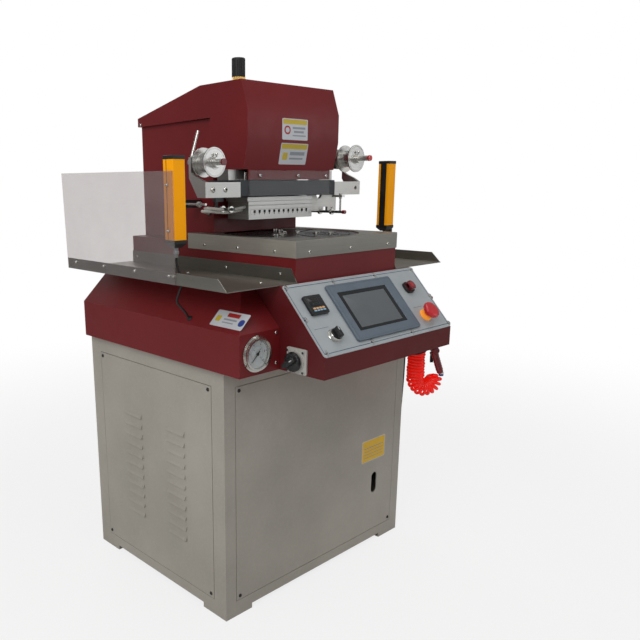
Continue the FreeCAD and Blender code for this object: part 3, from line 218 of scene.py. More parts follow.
def turned(name, colour, centre, across, rough, bump, lines):
    """Faced metal with fine rings about centre; across is 1 on the two ring axes."""
    shader = principled(name)
    offset = shader.vector_math("SUBTRACT", {0: shader.object_coords(), 1: centre})
    flat = shader.vector_math("MULTIPLY", {0: offset.outputs[0], 1: across})
    radius = shader.vector_math("LENGTH", {0: flat.outputs[0]})
    rings = shader.add("ShaderNodeTexNoise", noise_dimensions="1D")
    shader.feed(rings, {"Scale": lines, "Detail": 4.0, "W": radius.outputs["Value"]})
    rings = rings.outputs["Fac"]
    stains = shader.noise(shader.coords(), scale=14.0, detail=5.0)
    base = shader.mix(shader.remap(rings, to=(0.0, 1.0)),
                      scaled(colour, 0.8), scaled(colour, 1.15))
    base = shader.mix(shader.remap(stains, to=(0.0, 0.35), source=(0.45, 0.7)),
                      base, scaled(colour, 0.62))
    shader.feed(shader.bsdf, {
        "Base Color": base,
        "Metallic": 1.0,
        "Anisotropic": 0.3,
        "Roughness": shader.remap(rings, to=(rough - 0.05, rough + 0.12))})
    shader.bump(rings, strength=bump)


def plastic(name, colour, rough, grain=1600.0, bump=0.10, vary=0.12, coat=0.0, glow=None,
            speck=0.10):
    """Moulded, printed or rubber surface with a fine grain and pale specks; glow, when given, is a
    painted glow of the surface's own colour.
    """
    shader = principled(name)
    place = shader.coords()
    drift = shader.noise(place, scale=26.0, detail=4.0)
    tiny = shader.noise(place, scale=grain, detail=2.0)
    base = shader.mix(shader.remap(drift, to=(0.0, 1.0)),
                      scaled(colour, 1 - vary), scaled(colour, 1 + vary))
    base = shader.mix(shader.remap(tiny, to=(0.0, speck), source=(0.5, 0.8)),
                      base, lightened(colour, factor=1.8, lift=0.02))
    shader.feed(shader.bsdf, {
        "Base Color": base,
        "Roughness": shader.remap(drift, to=(rough - 0.06, rough + 0.08)),
        "Coat Weight": coat})
    if glow:
        shader.feed(shader.bsdf, {"Emission Color": base, "Emission Strength": glow})
    shader.bump(tiny, strength=bump)


def acrylic(name, tint, haze, haze_colour, glance=(0.02, 0.30)):
    """Clear sheet, a little milky from fine scratches; glance is the face-on and
    edge-on share of reflection."""
    shader = new_shader(name)
    clear = shader.add("ShaderNodeBsdfTransparent", {0: tint})
    glossy = shader.add("ShaderNodeBsdfGlossy", {"Roughness": 0.05})
    milky = shader.add("ShaderNodeBsdfDiffuse", {0: haze_colour})
    smear = shader.noise(shader.coords(), scale=7.0, detail=6.0)
    scratches = shader.noise(shader.coords((30, 30, 900)), scale=1.0, detail=3.0)
    amount = shader.multiply(shader.remap(smear, to=(haze * 0.8, haze * 1.25)),
                             shader.remap(scratches, to=(0.85, 1.15)))
    sheet = shader.mix_shaders(amount, clear, milky)
    facing = shader.add("ShaderNodeLayerWeight", {"Blend": 0.12}).outputs["Facing"]
    shine = shader.remap(facing, to=glance, source=(0.0, 1.0))
    shader.end(shader.mix_shaders(shine, sheet, glossy))


paint("maroon_paint", (0.185, 0.0120, 0.0150), rough=0.36, peel=0.10,
      wear=(0.30, 0.09, 0.085), dust=0.04, specular=0.32)
paint("grey_paint", (0.430, 0.405, 0.355), rough=0.46, peel=0.22,
      wear=(0.50, 0.48, 0.44), dust=0.10, grain=700.0)
yellow_paint_with_glow = paint("yellow_paint", (1.0, 0.40, 0.001), rough=0.42, peel=0.08,
               wear=(0.90, 0.55, 0.12), dust=0.03, specular=0.15)
# a faint painted glow that lifts the bar paint's brightness; the bars are no lamp
yellow_paint_with_glow.feed(yellow_paint_with_glow.bsdf, {"Emission Color": (1.0, 0.34, 0.0), "Emission Strength": 0.10})
paint("dark_grey_steel", (0.034, 0.040, 0.047), rough=0.42, peel=0.15,
      wear=(0.16, 0.16, 0.16), dust=0.12)
# darker copies of the maroon for the console's left and front faces: painted shade
paint("maroon_painted_shade", (0.105, 0.0075, 0.0095), rough=0.40, peel=0.10,
      wear=(0.22, 0.07, 0.065), dust=0.03, specular=0.30)
paint("maroon_front_painted_shade", (0.118, 0.0066, 0.0082), rough=0.38, peel=0.10,
      wear=(0.24, 0.07, 0.065), dust=0.03, specular=0.30)

# colour, roughness, axis of the grain, bump, anisotropy, blotch, lines per metre;
# a short row leaves the rest at brushed()'s defaults
BRUSHED = {
    "stainless_steel": ((0.36, 0.345, 0.305), 0.36, 1),
    "table_steel": ((0.36, 0.345, 0.305), 0.36, 0),
    "bright_aluminium": ((0.66, 0.655, 0.63), 0.36, 0, 0.08, 0.3),
    "polished_steel": ((0.66, 0.65, 0.62), 0.20, 0, 0.05, 0.2, 0.08),
    "chrome_trim": ((0.72, 0.70, 0.66), 0.13, 1, 0.03, 0.0, 0.06),
    "dark_steel": ((0.10, 0.10, 0.105), 0.34, 0),
    "galvanised_steel": ((0.42, 0.43, 0.44), 0.45, 2, 0.1, 0.0, 0.3, 60.0),
    "brass_metal": ((0.62, 0.40, 0.13), 0.26, 2, 0.05, 0.2, 0.2),
    # lighter copy of the table steel for the table top's left side: painted light
    "side_steel": ((0.58, 0.56, 0.50), 0.46, 1, 0.08, 0.3),
    # darker copy of the steel for the tray's left lip: painted shade
    "lip_steel": ((0.27, 0.26, 0.23), 0.38, 1),
    # darker aluminium for the left sides of the heater, insulation and die plates and spacers:
    # painted shade
    "dark_aluminium": ((0.30, 0.295, 0.28), 0.40, 1, 0.08, 0.3),
}
for name, row in BRUSHED.items():
    brushed(name, *row)

# colour, roughness, grain scale, bump, tone variation, coat, painted glow;
# a short row leaves the rest at plastic()'s defaults
PLASTICS = {
    "silver_panel": ((0.40, 0.435, 0.455), 0.42, 2200.0, 0.06, 0.05),
    "black_plastic": ((0.012, 0.012, 0.013), 0.38),
    "black_rubber": ((0.013, 0.013, 0.014), 0.55, 900.0, 0.2),
    "black_screw": ((0.014, 0.014, 0.015), 0.32, 1200.0, 0.1),
    "cable_rubber": ((0.010, 0.010, 0.010), 0.50, 700.0, 0.12),
    "blue_grey_plastic": ((0.125, 0.160, 0.200), 0.42, 1500.0, 0.10, 0.07),
    "light_grey_plastic": ((0.50, 0.49, 0.46), 0.40, 1500.0, 0.08, 0.05),
    "screen_glass": ((0.012, 0.014, 0.016), 0.18, 800.0, 0.01, 0.10),
    "red_plastic": ((0.62, 0.015, 0.024), 0.30, 900.0, 0.05, 0.08, 0.4),
    "dark_red_plastic": ((0.17, 0.008, 0.014), 0.28, 900.0, 0.05, 0.12, 0.4),
    # the last value is a painted glow on the collar; it is no lamp
    "amber_plastic": ((0.95, 0.33, 0.03), 0.35, 700.0, 0.05, 0.06, 0.0, 0.35),
    # the last value is a painted glow on the hose
    "orange_hose": ((0.86, 0.010, 0.003), 0.34, 500.0, 0.04, 0.08, 0.10, 0.24),
    "dial_white": ((0.70, 0.72, 0.73), 0.5, 500.0, 0.03, 0.03),
    "ink_black": ((0.015, 0.015, 0.018), 0.6, 900.0, 0.03),
    "ink_blue": ((0.022, 0.070, 0.150), 0.5, 900.0, 0.03),
    "label_white": ((0.60, 0.62, 0.66), 0.45, 700.0, 0.04, 0.04),
    "label_yellow": ((0.62, 0.46, 0.04), 0.45, 700.0, 0.04, 0.05),
    "sign_yellow": ((0.85, 0.52, 0.03), 0.45, 700.0, 0.04, 0.04),
    "label_grey": ((0.30, 0.32, 0.36), 0.5, 700.0, 0.03, 0.05),
    "label_red": ((0.42, 0.02, 0.02), 0.45, 700.0, 0.03, 0.05),
    "label_blue": ((0.03, 0.06, 0.28), 0.45, 700.0, 0.03, 0.05),
    "fitting_white": ((0.62, 0.62, 0.60), 0.35),
    "fitting_blue": ((0.02, 0.05, 0.25), 0.3),
    "braid": ((0.78, 0.77, 0.73), 0.6, 400.0, 0.5, 0.2),
    "led_red": ((0.10, 0.035, 0.03), 0.3, 900.0, 0.02, 0.1),
    "led_green": ((0.05, 0.09, 0.07), 0.3, 900.0, 0.02, 0.1),
    "key_orange": ((0.75, 0.42, 0.20), 0.4),
    "key_blue": ((0.30, 0.50, 0.68), 0.4),
    # colours the dark strip in the light curtain bars' grooves: painted shade
    "seam_dark": ((0.02, 0.015, 0.015), 0.7),
    # near-black floor of the screws' hex sockets: painted shade
    "socket_dark": ((0.03, 0.03, 0.03), 0.5),
    "lens_red": ((0.40, 0.012, 0.022), 0.22, 700.0, 0.03, 0.1, 0.6),
    "cap_red": ((0.62, 0.015, 0.020), 0.32, 900.0, 0.04, 0.1, 0.3),
}
for name, row in PLASTICS.items():
    plastic(name, *row)
plastic("display_grey", (0.122, 0.136, 0.148), rough=0.34, grain=2600.0, bump=0.0,
        vary=0.02, speck=0.0)

acrylic("clear_acrylic", tint=(0.865, 0.845, 0.84), haze=0.13, haze_colour=(0.55, 0.52, 0.52))
acrylic("shield_acrylic", tint=(0.93, 0.93, 0.93), haze=0.015,
        haze_colour=(0.55, 0.52, 0.52), glance=(0.01, 0.13))
acrylic("gauge_glass", tint=(0.97, 0.98, 0.98), haze=0.02, haze_colour=(0.8, 0.8, 0.8))


def box_centre(node_name):
    low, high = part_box(node_name)
    return (low + high) / 2


turned("table_disc", (0.105, 0.105, 0.106), tuple(box_centre("rotary_table")),
       across=(1, 1, 0), rough=0.26, bump=0.16, lines=700.0)
for name, reel in (("reel_left", "unwind_reel"), ("reel_right", "rewind_reel")):
    turned(name, (0.68, 0.675, 0.65), tuple(box_centre(reel)),
           across=(1, 0, 1), rough=0.24, bump=0.08, lines=1100.0)


# ============================================================ mesh helpers
def set_materials(item, names):
    # clearing an empty list would reset the faces' material indices
    if len(item.data.materials):
        item.data.materials.clear()
    for name in names:
        item.data.materials.append(MATERIALS[name])


def shade(data, angle):
    """Smooth shading with sharp edges above an angle in degrees."""
    data.shade_smooth()
    mesh = bmesh.new()
    mesh.from_mesh(data)
    limit = math.radians(angle)
    for edge in mesh.edges:
        edge.smooth = not (len(edge.link_faces) == 2 and edge.calc_face_angle(0.0) > limit)
    mesh.to_mesh(data)
    mesh.free()


def make_object(mesh, name, mats, body="machine", smooth=35.0, replaces=()):
    """Turns a bmesh into an object."""
    bmesh.ops.remove_doubles(mesh, verts=mesh.verts, dist=1e-7)
    bmesh.ops.recalc_face_normals(mesh, faces=mesh.faces)
    data = bpy.data.meshes.new(name)
    mesh.to_mesh(data)
    mesh.free()
    made = bpy.data.objects.new(name, data)
    bpy.context.scene.collection.objects.link(made)
    set_materials(made, mats)
    shade(data, smooth)
    if body:
        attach(made, body)
    if replaces:
        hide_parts(*replaces)
    return made


def columns(*axes):
    return Matrix(axes).transposed()


def basis(axis):
    """Matrix whose third column is axis."""
    axis = Vector(axis).normalized()
    helper = UP if abs(axis.z) < 0.9 else Vector((1, 0, 0))
    across = helper.cross(axis).normalized()
    return columns(across, axis.cross(across), axis)


def bridge(mesh, first, second, mat=0):
    """Joins two rings of vertices; either may be a single vertex."""
    count = max(len(first), len(second))
    for i in range(count):
        j = (i + 1) % count
        if len(first) == 1:
            corners = (first[0], second[i], second[j])
        elif len(second) == 1:
            corners = (first[i], first[j], second[0])
        else:
            corners = (first[i], first[j], second[j], second[i])
        mesh.faces.new(corners).material_index = mat


def revolve(mesh, profile, origin, axis, segments=32, mat=0, closed=False, flutes=None):
    """Turns (radius, height) pairs about axis. A closed profile is joined end to start;
    an open one starts and ends at radius 0. flutes is (profile rows cut, period in
    segments, segments cut in each period, depth of cut)."""
    axes = basis(axis)
    origin = Vector(origin)
    cut_rows, period, cut_steps, cut_depth = flutes or ((), 1, (), 0)
    rings = []
    for row, (radius, height) in enumerate(profile):
        ring = []
        for i in range(segments if radius else 1):
            cut = row in cut_rows and i % period in cut_steps
            reach = (radius - (cut_depth if cut else 0)) * MILLI
            angle = 2 * math.pi * i / segments
            point = Vector((reach * math.cos(angle), reach * math.sin(angle), height * MILLI))
            ring.append(mesh.verts.new(origin + axes @ point))
        rings.append(ring)
    for first, second in zip(rings, rings[1:] + (rings[:1] if closed else [])):
        bridge(mesh, first, second, mat)


def extrude(mesh, outline, origin, axes, height, mat=0, bevel=0.0):
    """Raises an outline in the first two axes along the third, with a rounded top edge."""
    bottom, top = [[mesh.verts.new(origin + axes @ Vector((x * MILLI, y * MILLI, z * MILLI)))
                    for x, y in outline] for z in (0, height)]
    mesh.faces.new(bottom[::-1]).material_index = mat
    lid = mesh.faces.new(top)
    lid.material_index = mat
    bridge(mesh, bottom, top, mat)
    if bevel:
        result = bmesh.ops.bevel(mesh, geom=list(lid.edges), offset=bevel * MILLI,
                                 segments=3, affect="EDGES", profile=0.6)
        for face in result["faces"]:
            face.material_index = mat


def rounded_rect(width, height, radius, steps=5):
    outline = []
    for side_x, side_y, start in ((1, 1, 0), (-1, 1, 90), (-1, -1, 180), (1, -1, 270)):
        for i in range(steps + 1):
            angle = math.radians(start + 90 * i / steps)
            outline.append((side_x * (width / 2 - radius) + radius * math.cos(angle),
                            side_y * (height / 2 - radius) + radius * math.sin(angle)))
    return outline


def sweep(mesh, points, radius, segments=10):
    """Round tube along points, ends closed; radius is one value or a list."""
    points = [Vector(point) for point in points]
    radii = radius if isinstance(radius, list) else [radius] * len(points)
    last = len(points) - 1
    tangents = [(points[min(last, i + 1)] - points[max(0, i - 1)]).normalized()
                for i in range(len(points))]
    normal = tangents[0].orthogonal().normalized()
    rings = []
    for i, point in enumerate(points):
        if i:
            normal = (tangents[i - 1].rotation_difference(tangents[i]) @ normal).normalized()
        side = tangents[i].cross(normal)
        ring = []
        for k in range(segments):
            angle = 2 * math.pi * k / segments
            offset = (normal * math.cos(angle) + side * math.sin(angle)) * radii[i]
            ring.append(mesh.verts.new(point + offset))
        rings.append(ring)
    for first, second in zip(rings, rings[1:]):
        bridge(mesh, first, second)
    mesh.faces.new(rings[0][::-1])
    mesh.faces.new(rings[-1])


def smooth_path(points, steps=6):
    """Catmull-Rom curve through points."""
    path = [Vector(point) for point in points]
    path = [path[0] * 2 - path[1]] + path + [path[-1] * 2 - path[-2]]
    out = []
    for i in range(1, len(path) - 2):
        before, start, end, after = path[i - 1:i + 3]
        for k in range(steps):
            t = k / steps
            out.append(0.5 * ((2 * start) + (end - before) * t
                              + (2 * before - 5 * start + 4 * end - after) * t * t
                              + (3 * start - before - 3 * end + after) * t ** 3))
    out.append(path[-2])
    return out


def islands(node_name):
    """Vertex coordinates of each separate solid in a CAD piece."""
    data = NODES[node_name].data
    parent = list(range(len(data.vertices)))

    def find(index):
        while parent[index] != index:
            parent[index] = parent[parent[index]]
            index = parent[index]
        return index

    seen = {}
    for vertex in data.vertices:
        key = tuple(round(value, 6) for value in vertex.co)
        if key in seen:
            parent[find(vertex.index)] = find(seen[key])
        else:
            seen[key] = vertex.index
    for edge in data.edges:
        first, second = find(edge.vertices[0]), find(edge.vertices[1])
        if first != second:
            parent[first] = second
    out = {}
    for vertex in data.vertices:
        out.setdefault(find(vertex.index), []).append(vertex.co.copy())
    return list(out.values())


def mean(points):
    return sum(points, Vector()) / len(points)


def extent(points):
    """Lowest and highest corner of the points' box."""
    return [Vector([pick(point[i] for point in points) for i in range(3)])
            for pick in (min, max)]


# ================================================= CAD pieces: finish, edges
# width of the edge bevel in mm
BEVEL = {
    "cabinet_frame": 1.6, "front_panel": 1.2, "left_side_panel": 0.9,
    "right_side_panel": 0.9, "rear_panel": 1.0, "deck_housing": 2.0,
    "console_housing": 2.0, "pedestal": 1.6, "column_cover": 1.6, "hood_cover": 2.2,
    "table_top": 1.6, "left_tray": 0.5, "right_tray": 0.5, "side_guard": 0.5,
    "front_shield": 0.5, "light_curtain_bars": 1.0, "hmi_bezel": 1.0, "head_block": 1.0,
    "isolator_plate": 0.8, "press_frame": 1.0, "console_panel": 0.3, "hmi_screen": 0.2,
    "temperature_controller": 0.8,
}
OTHER_BEVEL = 0.4
# pieces whose finish differs from their slot's name
FINISH = {"table_top": "table_steel", "front_shield": "shield_acrylic",
          "rotary_table": "table_disc", "unwind_reel": "reel_left",
          "rewind_reel": "reel_right"}
for name, item in NODES.items():
    set_materials(item, [FINISH.get(name, SLOT[name])])
    weld = item.modifiers.new("weld", "WELD")
    weld.merge_threshold = 1e-6
    planar = item.modifiers.new("planar", "DECIMATE")
    planar.decimate_type = "DISSOLVE"
    planar.angle_limit = math.radians(0.4)
    edge = item.modifiers.new("edge", "BEVEL")
    edge.width = BEVEL.get(name, OTHER_BEVEL) * MILLI
    edge.segments = 2
    edge.limit_method = "ANGLE"
    edge.angle_limit = math.radians(32)
    edge.use_clamp_overlap = True
    normals = item.modifiers.new("normals", "WEIGHTED_NORMAL")
    normals.weight = 60


def refinish(node_name, mat, chosen):
    """Gives the faces for which chosen(face) holds a further material."""
    data = NODES[node_name].data
    data.materials.append(MATERIALS[mat])
    for face in data.polygons:
        if chosen(face):
            face.material_index = len(data.materials) - 1


# piece, material, axis: faces that look towards the axis's negative end (0 left, 1 front) get a
# lighter or darker copy of their finish: painted light on the table top's left side, painted shade
# on the console's left and front faces, the tray's left lip and the head plates' left sides
for name, mat, axis in (
        ("console_housing", "maroon_painted_shade", 0), ("table_top", "side_steel", 0),
        ("left_tray", "lip_steel", 0), ("heater_plate", "dark_aluminium", 0),
        ("insulation_plate", "dark_aluminium", 0), ("die_plate", "dark_aluminium", 0),
        ("head_spacers", "dark_aluminium", 0), ("console_housing", "maroon_front_painted_shade", 1)):
    refinish(name, mat, lambda face: -face.normal[axis] > 0.9)


def is_bright_rod(face):
    """Picks the bright shafts and hangers among the dark foil rods."""
    spot = NODES["foil_rods"].matrix_world @ face.center
    return spot.x < -0.190 or (spot.x > 0.165 and spot.z > 0.9615 and spot.y < depth(0.145))


refinish("foil_rods", "polished_steel", is_bright_rod)


# ============================================================= cap screws
# directions the CAD screws may point in, either way round
SCREW_AXES = [Vector(axis) for axis in (
    (1, 0, 0), (0, 1, 0), (0, 0, 1), (0, -0.7342, 0.6789), (0, 0.6789, 0.7342),
    (-0.6898, 0, 0.7240), (0.6898, 0, 0.7240), (0, -0.9789, -0.2044))]
RIM = 0.985             # share of the full radius that counts as the rim
OUTER_SIDE_X = 0.4028   # screws reaching past this |x| sit on the trays' outer sides


def screw_head(points):
    """Base, axis, radius and height of a screw head, from its vertices."""
    middle = mean(points)
    best = (-1, None, None)
    for axis in SCREW_AXES:
        # the true axis is the one about which most vertices share the largest radius
        side = axis.orthogonal().normalized()
        other = axis.cross(side)
        radii = [math.hypot((point - middle).dot(side), (point - middle).dot(other))
                 for point in points]
        radius = max(radii)
        score = sum(value > radius * RIM for value in radii)
        if score > best[0]:
            best = (score, axis, radius)
    _, axis, radius = best
    heights = [(point - middle).dot(axis) for point in points]
    top, bottom = max(heights), min(heights)

    def reach(point):
        offset = point - middle
        return (offset - axis * offset.dot(axis)).length

    wide_top = max(reach(point) for point, h in zip(points, heights) if h > top - 1e-5)
    wide_bottom = max(reach(point) for point, h in zip(points, heights) if h < bottom + 1e-5)
    if wide_top > wide_bottom:
        axis = -axis
        heights = [-h for h in heights]
        top = max(heights)
    rim = [h for point, h in zip(points, heights) if reach(point) > radius * RIM]
    base = sum(rim) / len(rim)
    return middle + axis * base, axis, radius, top - base


def cap_screw(mesh, base, axis, radius, height, turn):
    """Button head with a hexagon socket; the socket's floor has material 1, which every call makes
    a near-black painted shade.
    """
    axes = basis(axis)
    segments = 24
    socket = radius * 0.48
    floor_height = height - height * 0.62
    profile = (
        (radius * 0.86, -0.00005), (radius, 0.0), (radius, height * 0.14),
        (radius * 0.93, height * 0.45), (radius * 0.78, height * 0.80),
        (radius * 0.62, height * 0.97), (socket * 1.10, height),
        (socket, height * 0.96), (socket * 0.98, floor_height))
    hexagon_row, floor_row = 7, 8
    rings = []
    for row, (ring_radius, rise) in enumerate(profile):
        ring = []
        for i in range(segments):
            angle = 2 * math.pi * i / segments
            reach = ring_radius
            if row >= hexagon_row:
                off_flat = angle % (math.pi / 3) - math.pi / 6
                reach = ring_radius * math.cos(math.pi / 6) / math.cos(off_flat)
            angle += turn
            point = Vector((reach * math.cos(angle), reach * math.sin(angle), rise))
            ring.append(mesh.verts.new(base + axes @ point))
        rings.append(ring)
    rings.append([mesh.verts.new(base + axis * (floor_height - 0.0001))])
    for row in range(1, len(rings)):
        bridge(mesh, rings[row - 1], rings[row], int(row >= floor_row))
    mesh.faces.new(rings[0][::-1])


for source, mat in (("dome_screws", "polished_steel"), ("panel_screws", "black_screw")):
    mesh = bmesh.new()
    for points in islands(source):
        base, axis, radius, height = screw_head(points)
        low, high = extent(points)
        if max(-low.x, high.x) > OUTER_SIDE_X:
            # these heads look straight out
            side = 1 if high.x > 0 else -1
            base = Vector((low.x if side > 0 else high.x,
                           (low.y + high.y) / 2, (low.z + high.z) / 2))
            axis = Vector((side, 0, 0))
            radius = (high.y - low.y) / 2
            height = high.x - low.x
        cap_screw(mesh, base, axis, radius, height, turn=rng.uniform(0, 1))
    make_object(mesh, source + "_heads", [mat, "socket_dark"], smooth=40, replaces=(source,))


# ============================================================ control panel
# x to the right from the middle, down the slope from the top edge, and out of the sheet
PANEL_DOWN = Vector((0, -0.67888, -0.73425))
PANEL_OUT = Vector((0, -0.73425, 0.67888))
PANEL_AXES = columns(Vector((1, 0, 0)), -PANEL_DOWN, PANEL_OUT)
PANEL_ORIGIN = Vector((0, depth(-0.0728), 0.8168))
SHEET_FACE = 2.2    # outer face of the sheet, out from the origin


def panel_point(x, down, out):
    return (PANEL_ORIGIN + Vector((x * MILLI, 0, 0))
            + PANEL_DOWN * down * MILLI + PANEL_OUT * out * MILLI)


def panel_plate(mesh, outline, x, down, out, height, mat=0, bevel=0.0):
    """Outline (x right, y up the slope) standing on the panel."""
    extrude(mesh, outline, panel_point(x, down, out), PANEL_AXES, height, mat, bevel)


# printed border, a thin raised ink line through the screw rows, and two short rules
BORDER_X, BORDER_TOP, BORDER_BOTTOM, BORDER_LINE = 239, 8.5, 181, 1.3
border_width = 2 * BORDER_X + BORDER_LINE
border_height = BORDER_BOTTOM - BORDER_TOP + BORDER_LINE
border_middle = (BORDER_TOP + BORDER_BOTTOM) / 2
mesh = bmesh.new()
for x, down, width, height, radius in (
        (0, BORDER_TOP, border_width, BORDER_LINE, 0.6),
        (0, BORDER_BOTTOM, border_width, BORDER_LINE, 0.6),
        (-BORDER_X, border_middle, BORDER_LINE, border_height, 0.6),
        (BORDER_X, border_middle, BORDER_LINE, border_height, 0.6),
        (-203, 120, 46, 0.7, 0.3),
        (163, 118, 36, 0.7, 0.3)):
    panel_plate(mesh, rounded_rect(width, height, radius, 2), x, down, SHEET_FACE, 0.12)
make_object(mesh, "panel_border_line", ["ink_blue"])

# display glass inside the black surround
mesh = bmesh.new()
panel_plate(mesh, rounded_rect(157, 88, 1.5), -5.5, 96.8, 6.55, 0.35, bevel=0.15)
make_object(mesh, "hmi_display", ["display_grey"])

# ridge round the display's bezel: x, down, width, height
mesh = bmesh.new()
for x, down, width, height in ((0.5, 24.6, 238, 0.8), (0.5, 167.6, 238, 0.8),
                               (-113.2, 96.0, 0.9, 143), (117.4, 96.0, 0.8, 143)):
    panel_plate(mesh, rounded_rect(width, height, 0.3, 2), x, down, 7.98, 0.5, bevel=0.15)
make_object(mesh, "hmi_bezel_ridge", ["blue_grey_plastic"])


def seven_segment(mesh, x, down, width, height, lit, mat):
    """One digit; lit names its segments a to g."""
    stroke = width * 0.16
    flat = (width * 0.7, stroke)
    tall = (stroke, height * 0.40)
    bars = {"a": (0, height / 2, *flat), "g": (0, 0, *flat), "d": (0, -height / 2, *flat),
            "f": (-width / 2, height / 4, *tall), "b": (width / 2, height / 4, *tall),
            "e": (-width / 2, -height / 4, *tall), "c": (width / 2, -height / 4, *tall)}
    for key in lit:
        bar_x, bar_y, long, high = bars[key]
        panel_plate(mesh, rounded_rect(long, high, min(long, high) * 0.45, 2),
                    x + bar_x, down - bar_y, 10.23, 0.10, mat)


# temperature controller: face, window, two rows of dim digits, four split keys
CONTROLLER_X = -183.25
mesh = bmesh.new()
panel_plate(mesh, rounded_rect(50.5, 44.0, 2.0), CONTROLLER_X, 63.5, 9.45, 0.5, 0, 0.25)
panel_plate(mesh, rounded_rect(42, 23, 1.0), CONTROLLER_X, 56.5, 9.9, 0.35, 1, 0.15)
for i, lit in enumerate(("abcdefg", "abcdef", "abcdef", "abged")):
    seven_segment(mesh, -195.0 + i * 7.8, 51.6, 4.1, 7.0, lit, mat=2)
    seven_segment(mesh, -193.6 + i * 6.9, 62.2, 3.2, 5.0, lit, mat=3)
for i in range(4):
    key_x = -197.8 + i * 9.7
    panel_plate(mesh, rounded_rect(7.8, 4.4, 1.0), key_x, 74.0, 9.9, 0.8, 4, 0.3)
    panel_plate(mesh, rounded_rect(7.8, 3.5, 1.0), key_x, 79.6, 9.9, 0.8, 5, 0.3)
make_object(mesh, "controller_face", ["black_plastic", "screen_glass", "led_red",
                                      "led_green", "key_orange", "key_blue"])

# panel x and down of the two button bezels
bezels = {}
for points in islands("button_bezels"):
    offset = mean(points) - PANEL_ORIGIN
    bezels["selector" if offset.x < 0 else "start"] = (
        offset.x / MILLI, offset.dot(PANEL_DOWN) / MILLI)
selector, start = bezels["selector"], bezels["start"]
selector_foot = panel_point(*selector, 0)

# selector: chrome collar, round base and a finger bar with a white mark
mesh = bmesh.new()
revolve(mesh, [(17.0, 2.2), (17.2, 3.2), (16.4, 4.2), (15.8, 4.6), (15.8, 10.6),
               (15.0, 11.6), (13.9, 11.6), (13.4, 11.0), (13.4, 2.2)],
        selector_foot, PANEL_OUT, 48, closed=True)
make_object(mesh, "selector_collar", ["chrome_trim"], smooth=40, replaces=("button_bezels",))

# start button's square surround: width, corner radius, scale, out from the panel
mesh = bmesh.new()
rings = []
for width, radius, scale, out in (
        (31, 10.0, 1, 2.2), (31, 10.0, 1, 8.4), (31, 10.0, 0.965, 9.4),
        (25.4, 7.6, 1.02, 9.4), (25.4, 7.6, 1, 8.8), (25.4, 7.6, 1, 2.2)):
    foot = panel_point(*start, out)
    rings.append([mesh.verts.new(foot + PANEL_AXES @ (Vector((x, y, 0)) * scale * MILLI))
                  for x, y in rounded_rect(width, width, radius, 6)])
for first, second in zip(rings, rings[1:] + rings[:1]):
    bridge(mesh, first, second)
make_object(mesh, "start_button_surround", ["black_plastic"], replaces=("button_bezels",))

mesh = bmesh.new()
revolve(mesh, [(0, 6.0), (9.5, 6.0), (9.5, 8.0), (12.6, 8.0), (13.0, 8.6),
               (13.0, 12.2), (12.3, 13.0), (0, 13.0)], selector_foot, PANEL_OUT, 40)
FINGER_BAR = [(-4.2, -12.6), (4.2, -12.6), (5.2, -11), (5.2, 7),
              (2.4, 12.6), (-2.4, 12.6), (-5.2, 7), (-5.2, -11)]
panel_plate(mesh, FINGER_BAR, *selector, 12.4, 11.6, bevel=1.6)
panel_plate(mesh, rounded_rect(1.6, 9.0, 0.7, 3), selector[0], selector[1] - 6.4,
            23.95, 0.25, mat=1)
make_object(mesh, "selector_knob_detail", ["black_plastic", "dial_white"],
            body="selector_knob", replaces=("selector_knob",))

# start button: stem, rounded cap and a raised lens
mesh = bmesh.new()
cap_outline = rounded_rect(24.0, 24.0, 7.0, 6)
panel_plate(mesh, cap_outline, *start, 5.7, 11.7)
panel_plate(mesh, cap_outline, *start, 11.6, 7.4, bevel=2.2)
panel_plate(mesh, rounded_rect(14.0, 14.0, 2.6, 5), *start, 18.9, 0.5, mat=1, bevel=0.3)
make_object(mesh, "start_button_lens", ["dark_red_plastic", "lens_red"],
            body="start_button", replaces=("start_button",))

# emergency stop: fluted mushroom head over an amber collar with a painted glow
collar_points = [vertex.co for vertex in NODES["estop_collar"].data.vertices]
low, high = extent(collar_points)
drops = [(point - PANEL_ORIGIN).dot(PANEL_DOWN) for point in collar_points]
estop_foot = panel_point((low.x + high.x) / 2 / MILLI, (min(drops) + max(drops)) / 2 / MILLI, 0)
mesh = bmesh.new()
revolve(mesh, [(0, -2), (8, -2), (8, 17.4), (16.8, 17.4), (19.9, 19.2), (22.1, 21.4),
               (22.5, 23.2), (22.5, 26.6), (21.9, 28.8), (20.0, 30.5), (16.6, 31.4),
               (9.6, 31.75), (0, 31.85)],
        estop_foot, PANEL_OUT, 60, flutes=(range(4, 9), 4, (0, 1), 0.45))
make_object(mesh, "estop_mushroom_head", ["red_plastic"], body="estop_button",
            replaces=("estop_button",))
mesh = bmesh.new()
revolve(mesh, [(16.0, 2.2), (16.4, 2.8), (16.2, 4.4), (15.4, 5.0), (15.2, 10.4),
               (14.4, 11.6), (9.6, 11.6), (8.3, 11.0), (8.3, 2.2)],
        estop_foot, PANEL_OUT, 48, closed=True, flutes=((3, 4), 2, (1,), 0.4))
make_object(mesh, "estop_collar_painted_glow", ["amber_plastic"], replaces=("estop_collar",))


# ========================================================= main isolator
# on the left side, looking along -x
isolator = box_centre("isolator_plate")
isolator.x = -0.250
mesh = bmesh.new()
for side_y in (-1, 1):
    for side_z in (-1, 1):
        corner = isolator + Vector((-0.0050, side_y * 0.0225, side_z * 0.0222))
        cap_screw(mesh, corner, LEFT, radius=0.0027, height=0.0014, turn=0.3 * side_y + side_z)
make_object(mesh, "isolator_plate_screws", ["black_screw", "socket_dark"], smooth=40)

